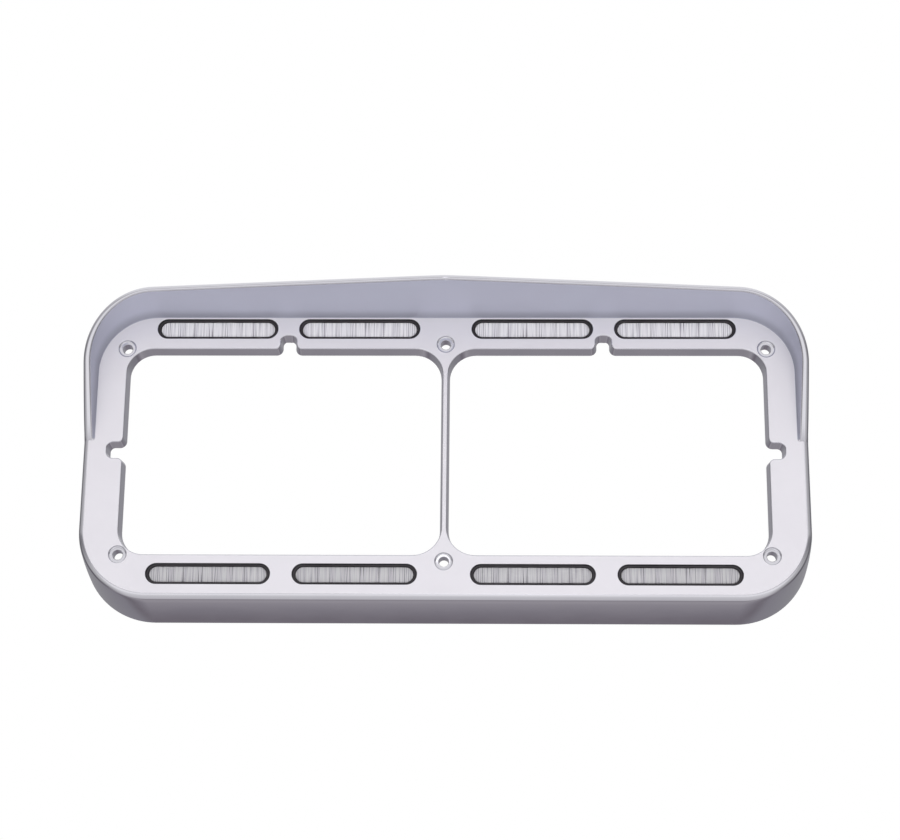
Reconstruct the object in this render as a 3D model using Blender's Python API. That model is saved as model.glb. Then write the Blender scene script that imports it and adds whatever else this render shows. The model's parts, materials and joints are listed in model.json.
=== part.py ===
"""Twin rectangular headlamp bezel for a heavy truck, with a pointed visor and eight slim marker lamps.

Lengths below are millimetres. +Z is up and the front faces -Y. The origin is the centre of the divider
bar's rear face, on the plane where the flange and the screw bosses seat against the truck.
"""

import math

import bmesh
import bpy
from mathutils import Vector

MM = 0.001
GAP = 0.3  # clearance between pieces that touch

# Stations along Y.
FACE_Y = -8.5
PLATE_THICK = 3.0
PLATE_BACK_Y = FACE_Y + PLATE_THICK
SEAT_Y = 0.0
SKIRT_DEPTH = 43.0
SKIRT_BACK_Y = FACE_Y + SKIRT_DEPTH

# Outer outline at the face, and the skirt wall behind it.
HALF_WIDTH = 197.0
HALF_HEIGHT = 83.0
CORNER_R = 38.0
FLARE = 3.2
WALL = 3.0
EDGE_R = 3.0

# Visor, which stands forward of the face along the top and fades out down both sides.
VISOR_TIP = 48.5
VISOR_SLOPE = 0.105
VISOR_POINT_SOFTNESS = 5.0
VISOR_FOOT_Z = 5.4
VISOR_TAPER = 0.75
VISOR_FULL_AT = 22.0  # depth at which the rim has its full section
VISOR_RIM = 2.8
VISOR_INSET = 5.5
RIM_R = 1.2
FACE_LIP = 4.6

# Headlamp openings; the right one, mirrored for the left.
OPENING_X = (1.45, 175.6)
OPENING_HALF_HEIGHT = 58.9
OPENING_TOP_R = 14.5
OPENING_BOTTOM_R = 14.0
DIVIDER_R = 15.5
OPENING_EDGE_R = 0.5
OPENING_DRAFT = 0.9
FLANGE_WALL = 2.5
NOTCH_TOP_X = 86.8
NOTCH_TOP_HALF = 4.4
NOTCH_TOP_Z = 66.8
NOTCH_SIDE_HALF = 4.6
NOTCH_SIDE_X = 184.4
NOTCH_END_R = 3.6
NOTCH_MOUTH_R = 2.8
NOTCH_WALL = 2.0

# Screws that hold the bezel to the truck.
HOLE_R = 2.75
COUNTERBORE_R = 4.8
COUNTERBORE_DEPTH = 1.2
HOLE_BOSS_R = 5.2
HOLES = ((176.0, 59.0), (-176.0, 59.0), (0.0, 61.7), (175.3, -59.0), (-175.3, -59.0), (0.0, -62.4))

# Marker lamps: a slot in the face, and a lamp module behind each one.
LAMP_X = (-126.3, -47.7, 47.7, 126.3)
LAMP_ROWS = (("top", 70.7), ("bottom", -69.6))
SLOT = (33.4, 5.7)  # half length and half height of an obround
MODULE = (34.5, 7.3)
MODULE_WALL = 1.5
LENS = (31.25, 4.0)
LENS_FLANGE = (32.7, 5.5)
LENS_FRONT_Y = -6.7
LENS_FLANGE_Y = (-3.8, -2.0)
LENS_EDGE_R = 0.4
GASKET_FRONT_Y = -7.9
HOUSING_Y = (-3.8, 4.2)
HOUSING_LEDGE_Y = -1.7
HOUSING_FLOOR_Y = 2.4
HOUSING_LEDGE = 1.3
BOARD_Y = (0.9, 2.1)
LED_COUNT = 7
LED_PITCH = 8.1
LED_SIZE = (3.4, 1.0, 2.8)
WIRE_HOLE_R = 1.3

# Screw ear at one end of each lamp housing, and the clip shared by the other ends of two lamps.
EAR_X = 38.5
EAR_HALF = (6.0, 3.0)
EAR_Y = (0.3, 2.3)
EAR_BOSS_R = 3.0
CLIP_X = (LAMP_X[2] + LAMP_X[3]) / 2
CLIP_HALF = (10.0, 3.0)
CLIP_Y = (4.5, 5.5)
CLIP_BOSS_R = 2.8
SCREW_HEAD_R = 2.3
SCREW_HEAD = 1.5
SCREW_SHANK_R = 1.05
SCREW_LENGTH = 6.8
SCREW_POINT = 1.0
RECESS_R = 1.1
RECESS_DEPTH = 0.8
PILOT_R = 1.4
PILOT_SPARE = 0.7  # depth of a pilot hole past its screw's point

# Wiring that the casting holds all the way round its rear channel, and the inlet for the truck's lead.
HARNESS_R = 2.0
HARNESS_Y = 10.5
HARNESS_Z = 72.2
HARNESS_END_X = 131.0
HARNESS_SIDE_X = 190.0
TAIL_R = 0.9
FEED_R = 1.3
SADDLE_X = 105.0
SADDLE_HALF_WIDTH = 3.0
SADDLE_RING_R = 3.6
SADDLE_HALF_DEPTH = 4.0
SADDLE_BASE = 1.6
SADDLE_POST_HALF = 1.2
SOCKET_HALF_WIDTH = 7.5
SOCKET_Z = (-79.4, -73.0)
SOCKET_Y = (6.4, 20.0)
SOCKET_FOOT_Y = (4.6, 6.6)
SOCKET_FOOT_HALF = 14.5
SOCKET_SCREW_X = 11.0
SOCKET_BOSS_R = 2.5
SOCKET_WALL = 1.1
SOCKET_FLOOR_Y = 9.5
PIN_R = 0.8
PIN_X = 3.2
PIN_END_Y = 18.0

ARC_STEPS = 7
EDGE_STEPS = 3
CORNER_STEPS = 4
LAMP_STEPS = 4
ROUND_STEPS = 10
SMALL_STEPS = 8
FORWARD, BACKWARD = FACE_Y - 2.0, SEAT_Y + 2.0  # a cutter through the face plate and flange
OVERLAP = 1.0  # how far a joined shape reaches into its neighbour, or a cutter past its wall


def mix(a, b, share):
    """The value that lies this share of the way from a to b."""
    return a + (b - a) * share


def smooth(value):
    """A step from 0 to 1 with level ends."""
    value = min(max(value, 0.0), 1.0)
    return value * value * (3 - 2 * value)


# Outlines in the XZ plane, anticlockwise as seen from the front.


def obround(half_length, half_height, centre=(0.0, 0.0), steps=LAMP_STEPS):
    """A slot shape: two half circles joined by straight sides."""
    run = half_length - half_height
    points = []
    for side, start in ((1, -90), (-1, 90)):
        for i in range(steps + 1):
            angle = math.radians(start + 180 * i / steps)
            x = centre[0] + side * run + half_height * math.cos(angle)
            points.append((x, centre[1] + half_height * math.sin(angle)))
    return points


def circle(radius, centre=(0.0, 0.0), steps=ROUND_STEPS):
    turns = [2 * math.pi * i / steps for i in range(steps)]
    return [(centre[0] + radius * math.cos(t), centre[1] + radius * math.sin(t)) for t in turns]


def rounded(corners, grow=0.0, steps=CORNER_STEPS):
    """A right-angled outline with rounded corners, given as (x, z, radius), moved outwards by grow."""
    points = []
    for i, (x, z, radius) in enumerate(corners):
        here = Vector((x, z))
        before = (here - Vector(corners[i - 1][:2])).normalized()
        after = (Vector(corners[(i + 1) % len(corners)][:2]) - here).normalized()
        turn = before.x * after.y - before.y * after.x
        here += grow * Vector((before.y + after.y, -before.x - after.x))
        radius += grow * turn
        centre = here + radius * (after - before)
        for j in range(steps + 1):
            angle = math.pi / 2 * j / steps
            points.append(tuple(centre + radius * (before * math.sin(angle) - after * math.cos(angle))))
    return points


def rectangle(x_range, z_range):
    (x0, x1), (z0, z1) = x_range, z_range
    return [(x0, z0), (x1, z0), (x1, z1), (x0, z1)]


def mirrored(outline):
    """The same outline on the other side of the centre plane, still anticlockwise."""
    return [(-x, z) for x, z in reversed(outline)]


def opening_outline(grow):
    """The right headlamp opening, with its two notches for the lamp's aiming screws."""
    x0, x1 = OPENING_X
    half, top = OPENING_HALF_HEIGHT, NOTCH_TOP_X
    return rounded(
        [
            (x0, -half, DIVIDER_R),
            (x1, -half, OPENING_BOTTOM_R),
            (x1, -NOTCH_SIDE_HALF, NOTCH_MOUTH_R),
            (NOTCH_SIDE_X, -NOTCH_SIDE_HALF, NOTCH_END_R),
            (NOTCH_SIDE_X, NOTCH_SIDE_HALF, NOTCH_END_R),
            (x1, NOTCH_SIDE_HALF, NOTCH_MOUTH_R),
            (x1, half, OPENING_TOP_R),
            (top + NOTCH_TOP_HALF, half, NOTCH_MOUTH_R),
            (top + NOTCH_TOP_HALF, NOTCH_TOP_Z, NOTCH_END_R),
            (top - NOTCH_TOP_HALF, NOTCH_TOP_Z, NOTCH_END_R),
            (top - NOTCH_TOP_HALF, half, NOTCH_MOUTH_R),
            (x0, half, DIVIDER_R),
        ],
        grow,
    )


# Meshes.


def ring_at(outline, y):
    return [(x, y, z) for x, z in outline]


def loft(name, rings, closed=False):
    """A closed mesh through rings of equal length: capped at its ends, or closed round on itself."""
    work = bmesh.new()
    rows = [[work.verts.new(Vector(point) * MM) for point in ring] for ring in rings]
    pairs = list(zip(rows, rows[1:]))
    if closed:
        pairs.append((rows[-1], rows[0]))
    else:
        work.faces.new(rows[0])
        work.faces.new(rows[-1])
    for low, high in pairs:
        for i in range(len(low)):
            work.faces.new((low[i - 1], low[i], high[i], high[i - 1]))
    bmesh.ops.recalc_face_normals(work, faces=work.faces)
    mesh = bpy.data.meshes.new(name)
    work.to_mesh(mesh)
    work.free()
    return mesh


def prism(name, outline, y_range):
    return loft(name, [ring_at(outline, y) for y in y_range])


def turned(name, profile, centre=(0.0, 0.0), steps=SMALL_STEPS):
    """A solid turned about an axis along Y, from (radius, y) pairs."""
    return loft(name, [ring_at(circle(radius, centre, steps), y) for radius, y in profile])


def bore(name, radius, y_range, centre=(0.0, 0.0)):
    """A cutter for a round hole through a wall that spans y_range."""
    front, back = y_range
    return turned(name, [(radius, front - OVERLAP), (radius, back + OVERLAP)], centre)


def upright(name, outline, z_range):
    """A prism that stands along Z, from an outline given as (x, y)."""
    return loft(name, [[(x, y, z) for x, y in outline] for z in z_range])


def crosswise(name, outline, x_range):
    """A prism that lies along X, from an outline given as (y, z)."""
    return loft(name, [[(x, y, z) for y, z in outline] for x in x_range])


# Objects.


def finish_material(name, colour, roughness, metallic=0.0, transmission=0.0):
    material = bpy.data.materials.new(name)
    material.use_nodes = True
    shader = material.node_tree.nodes["Principled BSDF"]
    shader.inputs["Base Color"].default_value = (*colour, 1.0)
    shader.inputs["Roughness"].default_value = roughness
    shader.inputs["Metallic"].default_value = metallic
    shader.inputs["Transmission Weight"].default_value = transmission
    material.diffuse_color = (*colour, 1.0)
    return material


def make_materials():
    return {
        "chrome": finish_material("chrome", (0.72, 0.72, 0.75), 0.08, metallic=1.0),
        "clear": finish_material("clear", (0.92, 0.92, 0.94), 0.06, transmission=0.9),
        "rubber": finish_material("rubber", (0.012, 0.012, 0.013), 0.75),
        "housing": finish_material("housing", (0.03, 0.03, 0.032), 0.45),
        "board": finish_material("board", (0.80, 0.80, 0.78), 0.4),
        "steel": finish_material("steel", (0.55, 0.55, 0.56), 0.3, metallic=1.0),
        "sleeve": finish_material("sleeve", (0.02, 0.02, 0.02), 0.6),
        "nylon": finish_material("nylon", (0.05, 0.05, 0.05), 0.5),
    }


def show(name, mesh, material, location=(0.0, 0.0, 0.0), turn=0.0):
    """Puts a visible piece in the scene, turned about Y."""
    obj = bpy.data.objects.new(name, mesh)
    bpy.context.scene.collection.objects.link(obj)
    if not mesh.materials:
        mesh.materials.append(material)
    mesh.shade_smooth()
    mesh.set_sharp_from_angle(angle=math.radians(35))
    obj.location = Vector(location) * MM
    obj.rotation_euler.y = turn
    return obj


def helpers(name, meshes):
    """A collection of hidden shapes for a Boolean to read."""
    group = bpy.data.collections.new(name)
    bpy.context.scene.collection.children.link(group)
    for mesh in meshes:
        obj = bpy.data.objects.new(mesh.name, mesh)
        obj.hide_render = True
        obj.display_type = "WIRE"
        group.objects.link(obj)
    return group


def combine(obj, group, operation):
    modifier = obj.modifiers.new(group.name, "BOOLEAN")
    modifier.operand_type = "COLLECTION"
    modifier.collection = group
    modifier.operation = operation
    modifier.solver = "EXACT"
    modifier.use_self = operation == "UNION"


def combined_mesh(mesh, added, removed):
    """One mesh with some shapes added to it and others cut from it, for pieces that are made several times."""
    obj = bpy.data.objects.new(mesh.name, mesh)
    bpy.context.scene.collection.objects.link(obj)
    if added:
        combine(obj, helpers(mesh.name + "_added", added), "UNION")
    if removed:
        combine(obj, helpers(mesh.name + "_removed", removed), "DIFFERENCE")
    graph = bpy.context.evaluated_depsgraph_get()
    result = bpy.data.meshes.new_from_object(obj.evaluated_get(graph))
    bpy.data.objects.remove(obj)
    return result


# The casting: face plate, skirt and visor in one wall, then flange, bosses and holes.


def visor_depth(x, z):
    """How far the visor's edge stands forward of the face at a point of the outline."""
    if z <= VISOR_FOOT_Z:
        return 0.0
    run = math.hypot(x, VISOR_POINT_SOFTNESS) - VISOR_POINT_SOFTNESS
    height = (z - VISOR_FOOT_Z) / (HALF_HEIGHT - VISOR_FOOT_Z)
    return (VISOR_TIP - VISOR_SLOPE * run) * height**VISOR_TAPER


def flare_at(y):
    """How far the skirt's outer wall stands outside the face outline."""
    return FLARE * max(y - FACE_Y, 0.0) / SKIRT_DEPTH


def wall_profile(depth):
    """The wall's section as (offset, y): pocket floor, rear rim, outer wall, front edge, then the crease."""
    share = smooth(depth / VISOR_FULL_AT)
    front = FACE_Y - depth
    outer_r = mix(EDGE_R, RIM_R, share)
    lip = mix(FACE_LIP, VISOR_RIM, share)
    drop = min(RIM_R, depth / 2)
    outside = flare_at(front + outer_r)
    rows = [
        (flare_at(PLATE_BACK_Y) - WALL, PLATE_BACK_Y),
        (FLARE - WALL, SKIRT_BACK_Y),
        (FLARE, SKIRT_BACK_Y),
        (flare_at(SEAT_Y), SEAT_Y),
    ]
    for i in range(EDGE_STEPS + 1):
        angle = math.pi / 2 * i / EDGE_STEPS
        rows.append((outside * (1 - i / EDGE_STEPS) - outer_r * (1 - math.cos(angle)),
                     front + outer_r * (1 - math.sin(angle))))
    for i in range(EDGE_STEPS + 1):
        angle = math.pi / 2 * i / EDGE_STEPS
        rows.append((RIM_R * (1 - math.sin(angle)) - lip, front + drop * (1 - math.cos(angle))))
    rows.append((-VISOR_INSET, FACE_Y))
    return rows


def wall_stations():
    """Points round the outline with their outward directions, closer together where the visor starts."""
    run_x, run_z = HALF_WIDTH - CORNER_R, HALF_HEIGHT - CORNER_R
    right = []
    for i in range(ARC_STEPS + 1):
        angle = math.radians(90 * i / ARC_STEPS - 90)
        right.append((run_x, -run_z, math.cos(angle), math.sin(angle)))
    for i in range(ARC_STEPS):
        rise = (run_z - VISOR_FOOT_Z) * (i / ARC_STEPS) ** 2
        right.append((run_x, VISOR_FOOT_Z + rise, 1.0, 0.0))
    for i in range(ARC_STEPS + 1):
        angle = math.radians(90 * i / ARC_STEPS)
        right.append((run_x, run_z, math.cos(angle), math.sin(angle)))
    for i in range(1, ARC_STEPS + 1):
        right.append((run_x * (1 - (i / ARC_STEPS) ** 0.5), run_z, 0.0, 1.0))
    left = [(-x, z, -nx, nz) for x, z, nx, nz in reversed(right[:-1])]
    return right + left


def wall_mesh():
    stations = wall_stations()
    profiles = []
    for x, z, nx, nz in stations:
        depth = visor_depth(x + nx * CORNER_R, z + nz * CORNER_R)
        profiles.append(wall_profile(depth))
    rings = []
    for row in range(len(profiles[0])):
        ring = []
        for (x, z, nx, nz), profile in zip(stations, profiles):
            offset, y = profile[row]
            reach = CORNER_R + offset
            ring.append((x + nx * reach, y, z + nz * reach))
        rings.append(ring)
    return loft("bezel_casting", rings)


def opening_cutter(name, mirror):
    """The opening through plate and flange: a small round at its front edge, then walls with draft."""
    rows = [(OPENING_EDGE_R, FORWARD), (OPENING_EDGE_R, FACE_Y)]
    for degrees in (45, 90):
        angle = math.radians(degrees)
        rows.append((OPENING_EDGE_R * (1 - math.sin(angle)), FACE_Y + OPENING_EDGE_R * (1 - math.cos(angle))))
    slope = OPENING_DRAFT / (SEAT_Y - FACE_Y)
    rows.append((-OPENING_DRAFT - slope * BACKWARD, BACKWARD))
    outlines = [(opening_outline(grow), y) for grow, y in rows]
    return loft(name, [ring_at(mirrored(o) if mirror else o, y) for o, y in outlines])


def flange_mesh():
    """The flange round both openings, as one block before the openings are cut."""
    half_x = OPENING_X[1] + FLANGE_WALL
    half_z = OPENING_HALF_HEIGHT + FLANGE_WALL
    notch_x, notch_z = NOTCH_SIDE_X + NOTCH_WALL, NOTCH_TOP_Z + NOTCH_WALL
    side, top = NOTCH_SIDE_HALF + NOTCH_WALL, NOTCH_TOP_HALF + NOTCH_WALL
    inner_r, end_r = 1.0, NOTCH_END_R + NOTCH_WALL
    right = [
        (half_x, -half_z, OPENING_BOTTOM_R + FLANGE_WALL),
        (half_x, -side, inner_r),
        (notch_x, -side, end_r),
        (notch_x, side, end_r),
        (half_x, side, inner_r),
        (half_x, half_z, OPENING_TOP_R + FLANGE_WALL),
        (NOTCH_TOP_X + top, half_z, inner_r),
        (NOTCH_TOP_X + top, notch_z, end_r),
        (NOTCH_TOP_X - top, notch_z, end_r),
        (NOTCH_TOP_X - top, half_z, inner_r),
    ]
    left = [(-x, z, r) for x, z, r in reversed(right)]
    return prism("flange", rounded(right + left), (PLATE_BACK_Y - OVERLAP, SEAT_Y))


def lamps():
    """(label, x, z, turn) of each lamp; the turn puts its screw ear at the end away from its neighbour."""
    found = []
    for row, z in LAMP_ROWS:
        for number, x in enumerate(LAMP_X, 1):
            ear_side = math.copysign(1, x) * (1 if abs(x) > CLIP_X else -1)
            found.append((f"{row}_{number}", x, z, 0.0 if ear_side > 0 else math.pi))
    return found


def ear_place(x, turn):
    return x + EAR_X * math.cos(turn)


def clips():
    return [(f"{row}_{side}", sign * CLIP_X, z)
            for row, z in LAMP_ROWS for side, sign in (("left", -1), ("right", 1))]


def socket_screws():
    z = (SOCKET_Z[0] + SOCKET_Z[1]) / 2
    return [(side, sign * SOCKET_SCREW_X, z) for side, sign in (("left", -1), ("right", 1))]


def small_bosses():
    """(x, z, radius, top, screw seat) of the bosses that take the small screws."""
    found = [(ear_place(x, turn), z, EAR_BOSS_R, SEAT_Y, EAR_Y[1]) for _, x, z, turn in lamps()]
    found += [(x, z, CLIP_BOSS_R, HOUSING_Y[1], CLIP_Y[1]) for _, x, z in clips()]
    foot_front, foot_back = SOCKET_FOOT_Y
    return found + [(x, z, SOCKET_BOSS_R, foot_front - GAP, foot_back) for _, x, z in socket_screws()]


def build_casting(materials):
    casting = show("bezel_casting", wall_mesh(), materials["chrome"])
    added = [flange_mesh()]
    for x, z in HOLES:
        profile = [(HOLE_BOSS_R, PLATE_BACK_Y - OVERLAP), (HOLE_BOSS_R, SEAT_Y)]
        added.append(turned("hole_boss", profile, (x, z), ROUND_STEPS))
    for x, z, radius, top, _ in small_bosses():
        added.append(turned("boss", [(radius, PLATE_BACK_Y - OVERLAP), (radius, top)], (x, z)))
    combine(casting, helpers("casting_added", added), "UNION")
    removed = [opening_cutter("opening_right", False), opening_cutter("opening_left", True)]
    for _, x, z, _ in lamps():
        removed.append(prism("slot", obround(*SLOT, (x, z), ARC_STEPS), (FORWARD, SEAT_Y)))
    floor = FACE_Y + COUNTERBORE_DEPTH
    for x, z in HOLES:
        profile = [(COUNTERBORE_R, FORWARD), (COUNTERBORE_R, floor), (HOLE_R, floor), (HOLE_R, BACKWARD)]
        removed.append(turned("hole", profile, (x, z), 2 * ROUND_STEPS))
    for x, z, _, top, seat in small_bosses():
        end = seat - SCREW_LENGTH - PILOT_SPARE
        removed.append(turned("pilot", [(PILOT_R, end), (PILOT_R, top + OVERLAP)], (x, z)))
    combine(casting, helpers("casting_removed", removed), "DIFFERENCE")


# Lamp modules.


def lens_mesh():
    length, height = LENS
    rows = [
        (length - LENS_EDGE_R, height - LENS_EDGE_R, LENS_FRONT_Y),
        (length, height, LENS_FRONT_Y + LENS_EDGE_R),
        (length, height, LENS_FLANGE_Y[0]),
        (*LENS_FLANGE, LENS_FLANGE_Y[0]),
        (*LENS_FLANGE, LENS_FLANGE_Y[1]),
    ]
    return loft("lens", [ring_at(obround(a, b), y) for a, b, y in rows])


def gasket_mesh():
    """A ring with an L section: a lip in the slot, and a flange pinched behind the face plate."""
    lip = [size - GAP for size in SLOT]
    hole = [size + GAP for size in LENS]
    shoulder, back = PLATE_BACK_Y + GAP, HOUSING_Y[0] - GAP
    rows = [
        (*lip, GASKET_FRONT_Y),
        (*lip, shoulder),
        (*MODULE, shoulder),
        (*MODULE, back),
        (*hole, back),
        (*hole, GASKET_FRONT_Y),
    ]
    return loft("gasket", [ring_at(obround(a, b), y) for a, b, y in rows], closed=True)


def housing_mesh():
    """A cup that holds the lens in its mouth and the board on its floor, with a screw ear at one end."""
    mouth = [size - MODULE_WALL for size in MODULE]
    pocket = [size - HOUSING_LEDGE for size in mouth]
    rows = [
        (*pocket, HOUSING_FLOOR_Y),
        (*pocket, HOUSING_LEDGE_Y),
        (*mouth, HOUSING_LEDGE_Y),
        (*mouth, HOUSING_Y[0]),
        (*MODULE, HOUSING_Y[0]),
        (*MODULE, HOUSING_Y[1]),
    ]
    cup = loft("lamp_housing", [ring_at(obround(a, b), y) for a, b, y in rows])
    ear = prism("ear", obround(*EAR_HALF, centre=(EAR_X - EAR_HALF[1], 0)), EAR_Y)
    ear_hole = bore("ear_hole", PILOT_R, EAR_Y, (EAR_X, 0))
    wire_hole = bore("wire_hole", WIRE_HOLE_R, (HOUSING_FLOOR_Y, HOUSING_Y[1]))
    # The ear's root ends inside the cup, so the cup's pocket is cut again.
    pocket_cutter = prism("pocket", obround(*pocket), (HOUSING_LEDGE_Y - GAP, HOUSING_FLOOR_Y))
    return combined_mesh(cup, [ear], [ear_hole, wire_hole, pocket_cutter])


def board_mesh():
    """The lamp's circuit board with its row of light emitters."""
    half = [size - MODULE_WALL - HOUSING_LEDGE - GAP for size in MODULE]
    board = prism("led_board", obround(*half), BOARD_Y)
    width, tall, high = LED_SIZE
    emitters = []
    for i in range(LED_COUNT):
        x = (i - (LED_COUNT - 1) / 2) * LED_PITCH
        outline = rectangle((x - width / 2, x + width / 2), (-high / 2, high / 2))
        emitters.append(prism("emitter", outline, (BOARD_Y[0] - tall, BOARD_Y[0] + 0.4)))
    return combined_mesh(board, emitters, [])


def screw_mesh():
    """A small pan-head screw with its head's underside at y = 0 and its point towards the front."""
    profile = [
        (RECESS_R * 0.8, SCREW_HEAD - RECESS_DEPTH),
        (RECESS_R, SCREW_HEAD),
        (SCREW_HEAD_R * 0.7, SCREW_HEAD),
        (SCREW_HEAD_R, SCREW_HEAD * 0.5),
        (SCREW_HEAD_R, 0.0),
        (SCREW_SHANK_R, 0.0),
        (SCREW_SHANK_R, SCREW_POINT - SCREW_LENGTH),
        (SCREW_SHANK_R * 0.4, -SCREW_LENGTH),
    ]
    return turned("screw", profile)


def clip_mesh():
    strip = prism("lamp_clip", obround(*CLIP_HALF), CLIP_Y)
    return combined_mesh(strip, [], [bore("clip_hole", PILOT_R, CLIP_Y)])


def build_lamps(materials):
    lens, gasket, housing, board = lens_mesh(), gasket_mesh(), housing_mesh(), board_mesh()
    screw, clip = screw_mesh(), clip_mesh()
    for label, x, z, turn in lamps():
        show(f"lens_{label}", lens, materials["clear"], (x, 0, z), turn)
        show(f"gasket_{label}", gasket, materials["rubber"], (x, 0, z), turn)
        show(f"lamp_housing_{label}", housing, materials["housing"], (x, 0, z), turn)
        show(f"led_board_{label}", board, materials["board"], (x, 0, z), turn)
        show(f"lamp_screw_{label}", screw, materials["steel"], (ear_place(x, turn), EAR_Y[1] + GAP, z))
    for label, x, z in clips():
        show(f"lamp_clip_{label}", clip, materials["steel"], (x, 0, z))
        show(f"clip_screw_{label}", screw, materials["steel"], (x, CLIP_Y[1] + GAP, z))
    for side, x, z in socket_screws():
        show(f"socket_screw_{side}", screw, materials["steel"], (x, SOCKET_FOOT_Y[1] + GAP, z))


# Wiring.


def through(points, steps):
    """A smooth curve through the points, by the Catmull-Rom rule."""
    ends = [points[0] * 2 - points[1], *points, points[-1] * 2 - points[-2]]
    curve = []
    for a, b, c, d in zip(ends, ends[1:], ends[2:], ends[3:]):
        for i in range(steps):
            t = i / steps
            curve.append(
                0.5 * (2 * b + (c - a) * t + (2 * a - 5 * b + 4 * c - d) * t**2 + (3 * b - a - 3 * c + d) * t**3)
            )
    return [*curve, points[-1]]


def harness_route():
    """The trunk's own points: along the top row, down the right side, and back along the bottom row."""
    y, z, side = HARNESS_Y, HARNESS_Z, HARNESS_SIDE_X
    top = [(-HARNESS_END_X, z), (-SADDLE_X, z), (-60, z), (0, z), (60, z), (SADDLE_X, z), (HARNESS_END_X, z)]
    corner = [(151, z), (173.5, z + 1.8), (side - 4.2, z - 8.2), (side, z - 28)]
    route = top + corner + [(side, 0)] + [(x, -h) for x, h in reversed(corner)]
    route += [(x, -h) for x, h in reversed(top[4:])] + [(0, 2 - z)] + [(x, -h) for x, h in reversed(top[:3])]
    return [Vector((x, y, h)) for x, h in route]


def harness_mesh():
    """The sleeved trunk, with a short tail into the back of each lamp and one to the inlet."""
    curve = bpy.data.curves.new("trunk", "CURVE")
    curve.dimensions = "3D"
    curve.bevel_depth = HARNESS_R * MM
    curve.bevel_resolution = 2
    curve.use_fill_caps = True
    points = through(harness_route(), 2)
    spline = curve.splines.new("POLY")
    spline.points.add(len(points) - 1)
    for place, point in zip(spline.points, points):
        place.co = (*(point * MM), 1.0)
    holder = bpy.data.objects.new("trunk", curve)
    bpy.context.scene.collection.objects.link(holder)
    graph = bpy.context.evaluated_depsgraph_get()
    trunk = bpy.data.meshes.new_from_object(holder.evaluated_get(graph))
    bpy.data.objects.remove(holder)
    work = bmesh.new()
    work.from_mesh(trunk)
    bmesh.ops.remove_doubles(work, verts=work.verts, dist=1e-6)
    bmesh.ops.recalc_face_normals(work, faces=work.faces)
    work.to_mesh(trunk)
    work.free()
    tails = []
    for _, x, z, _ in lamps():
        knees = [(z, BOARD_Y[1] + GAP), (z, HOUSING_Y[1] + GAP), (math.copysign(HARNESS_Z, z), HARNESS_Y)]
        tails.append(loft("tail", [ring_at(circle(TAIL_R, (x, height), 6), y) for height, y in knees]))
    feed = [(x, y + HARNESS_Y) for x, y in circle(FEED_R)]
    tails.append(upright("feed", feed, (SOCKET_Z[1] + GAP, OVERLAP - HARNESS_Z)))
    return combined_mesh(trunk, tails, [])


def saddle_mesh():
    """A stick-on block with a ring that holds the trunk, standing off the top wall of the skirt."""
    base_y = (HARNESS_Y - SADDLE_HALF_DEPTH, HARNESS_Y + SADDLE_HALF_DEPTH)
    post_y = (HARNESS_Y - SADDLE_POST_HALF, HARNESS_Y + SADDLE_POST_HALF)
    top = HALF_HEIGHT + flare_at(base_y[0]) - WALL - GAP
    width = (-SADDLE_HALF_WIDTH, SADDLE_HALF_WIDTH)
    base = crosswise("saddle", rectangle(base_y, (top - SADDLE_BASE, top)), width)
    ring_top = HARNESS_Z + SADDLE_RING_R
    post = rectangle(post_y, (ring_top - OVERLAP, top - SADDLE_BASE / 2))
    inset = (GAP - SADDLE_HALF_WIDTH, SADDLE_HALF_WIDTH - GAP)
    ring = [(HARNESS_Y + y, HARNESS_Z + z) for y, z in circle(SADDLE_RING_R)]
    hole = [(HARNESS_Y + y, HARNESS_Z + z) for y, z in circle(HARNESS_R + GAP)]
    added = [crosswise("post", post, inset), crosswise("ring", ring, inset)]
    through_ring = (width[0] - OVERLAP, width[1] + OVERLAP)
    return combined_mesh(base, added, [crosswise("ring_hole", hole, through_ring)])


def socket_mesh():
    """The two-pin inlet: a box open to the back with its pins inside, on a foot with two screw holes."""
    half, (low, high) = SOCKET_HALF_WIDTH, SOCKET_Z
    middle = (low + high) / 2
    foot_outline = rectangle((-SOCKET_FOOT_HALF, SOCKET_FOOT_HALF), (low, high - GAP))
    foot = prism("lead_socket", foot_outline, SOCKET_FOOT_Y)
    body = prism("socket_body", rectangle((-half, half), (low, high)), SOCKET_Y)
    mouth = rectangle((SOCKET_WALL - half, half - SOCKET_WALL), (low + SOCKET_WALL, high - SOCKET_WALL))
    holes = [bore("foot_hole", PILOT_R, SOCKET_FOOT_Y, (x, z)) for _, x, z in socket_screws()]
    mouth_cutter = prism("mouth", mouth, (SOCKET_FLOOR_Y, SOCKET_Y[1] + OVERLAP))
    shell = combined_mesh(foot, [body], [mouth_cutter, *holes])
    pin = [(PIN_R, SOCKET_FLOOR_Y - OVERLAP), (PIN_R, PIN_END_Y)]
    pins = [turned("pin", pin, (x, middle)) for x in (-PIN_X, PIN_X)]
    return combined_mesh(shell, pins, [])


def build_wiring(materials):
    show("wiring_harness", harness_mesh(), materials["sleeve"])
    show("lead_socket", socket_mesh(), materials["nylon"])
    saddle = saddle_mesh()
    for row, turn in (("top", 0.0), ("bottom", math.pi)):
        for side, sign in (("left", -1), ("right", 1)):
            show(f"harness_saddle_{row}_{side}", saddle, materials["nylon"], (sign * SADDLE_X, 0, 0), turn)


def main():
    for obj in list(bpy.data.objects):
        bpy.data.objects.remove(obj)
    materials = make_materials()
    build_casting(materials)
    build_lamps(materials)
    build_wiring(materials)


main()
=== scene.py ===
"""Looks of a chrome bezel for paired truck headlamps, with a pointed visor and eight slim marker lamps.

Lengths are millimetres until a mesh is made. +Z is up and the front faces -Y.
"""

import json
import math

import bmesh
import bpy
from mathutils import Matrix, Vector

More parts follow.
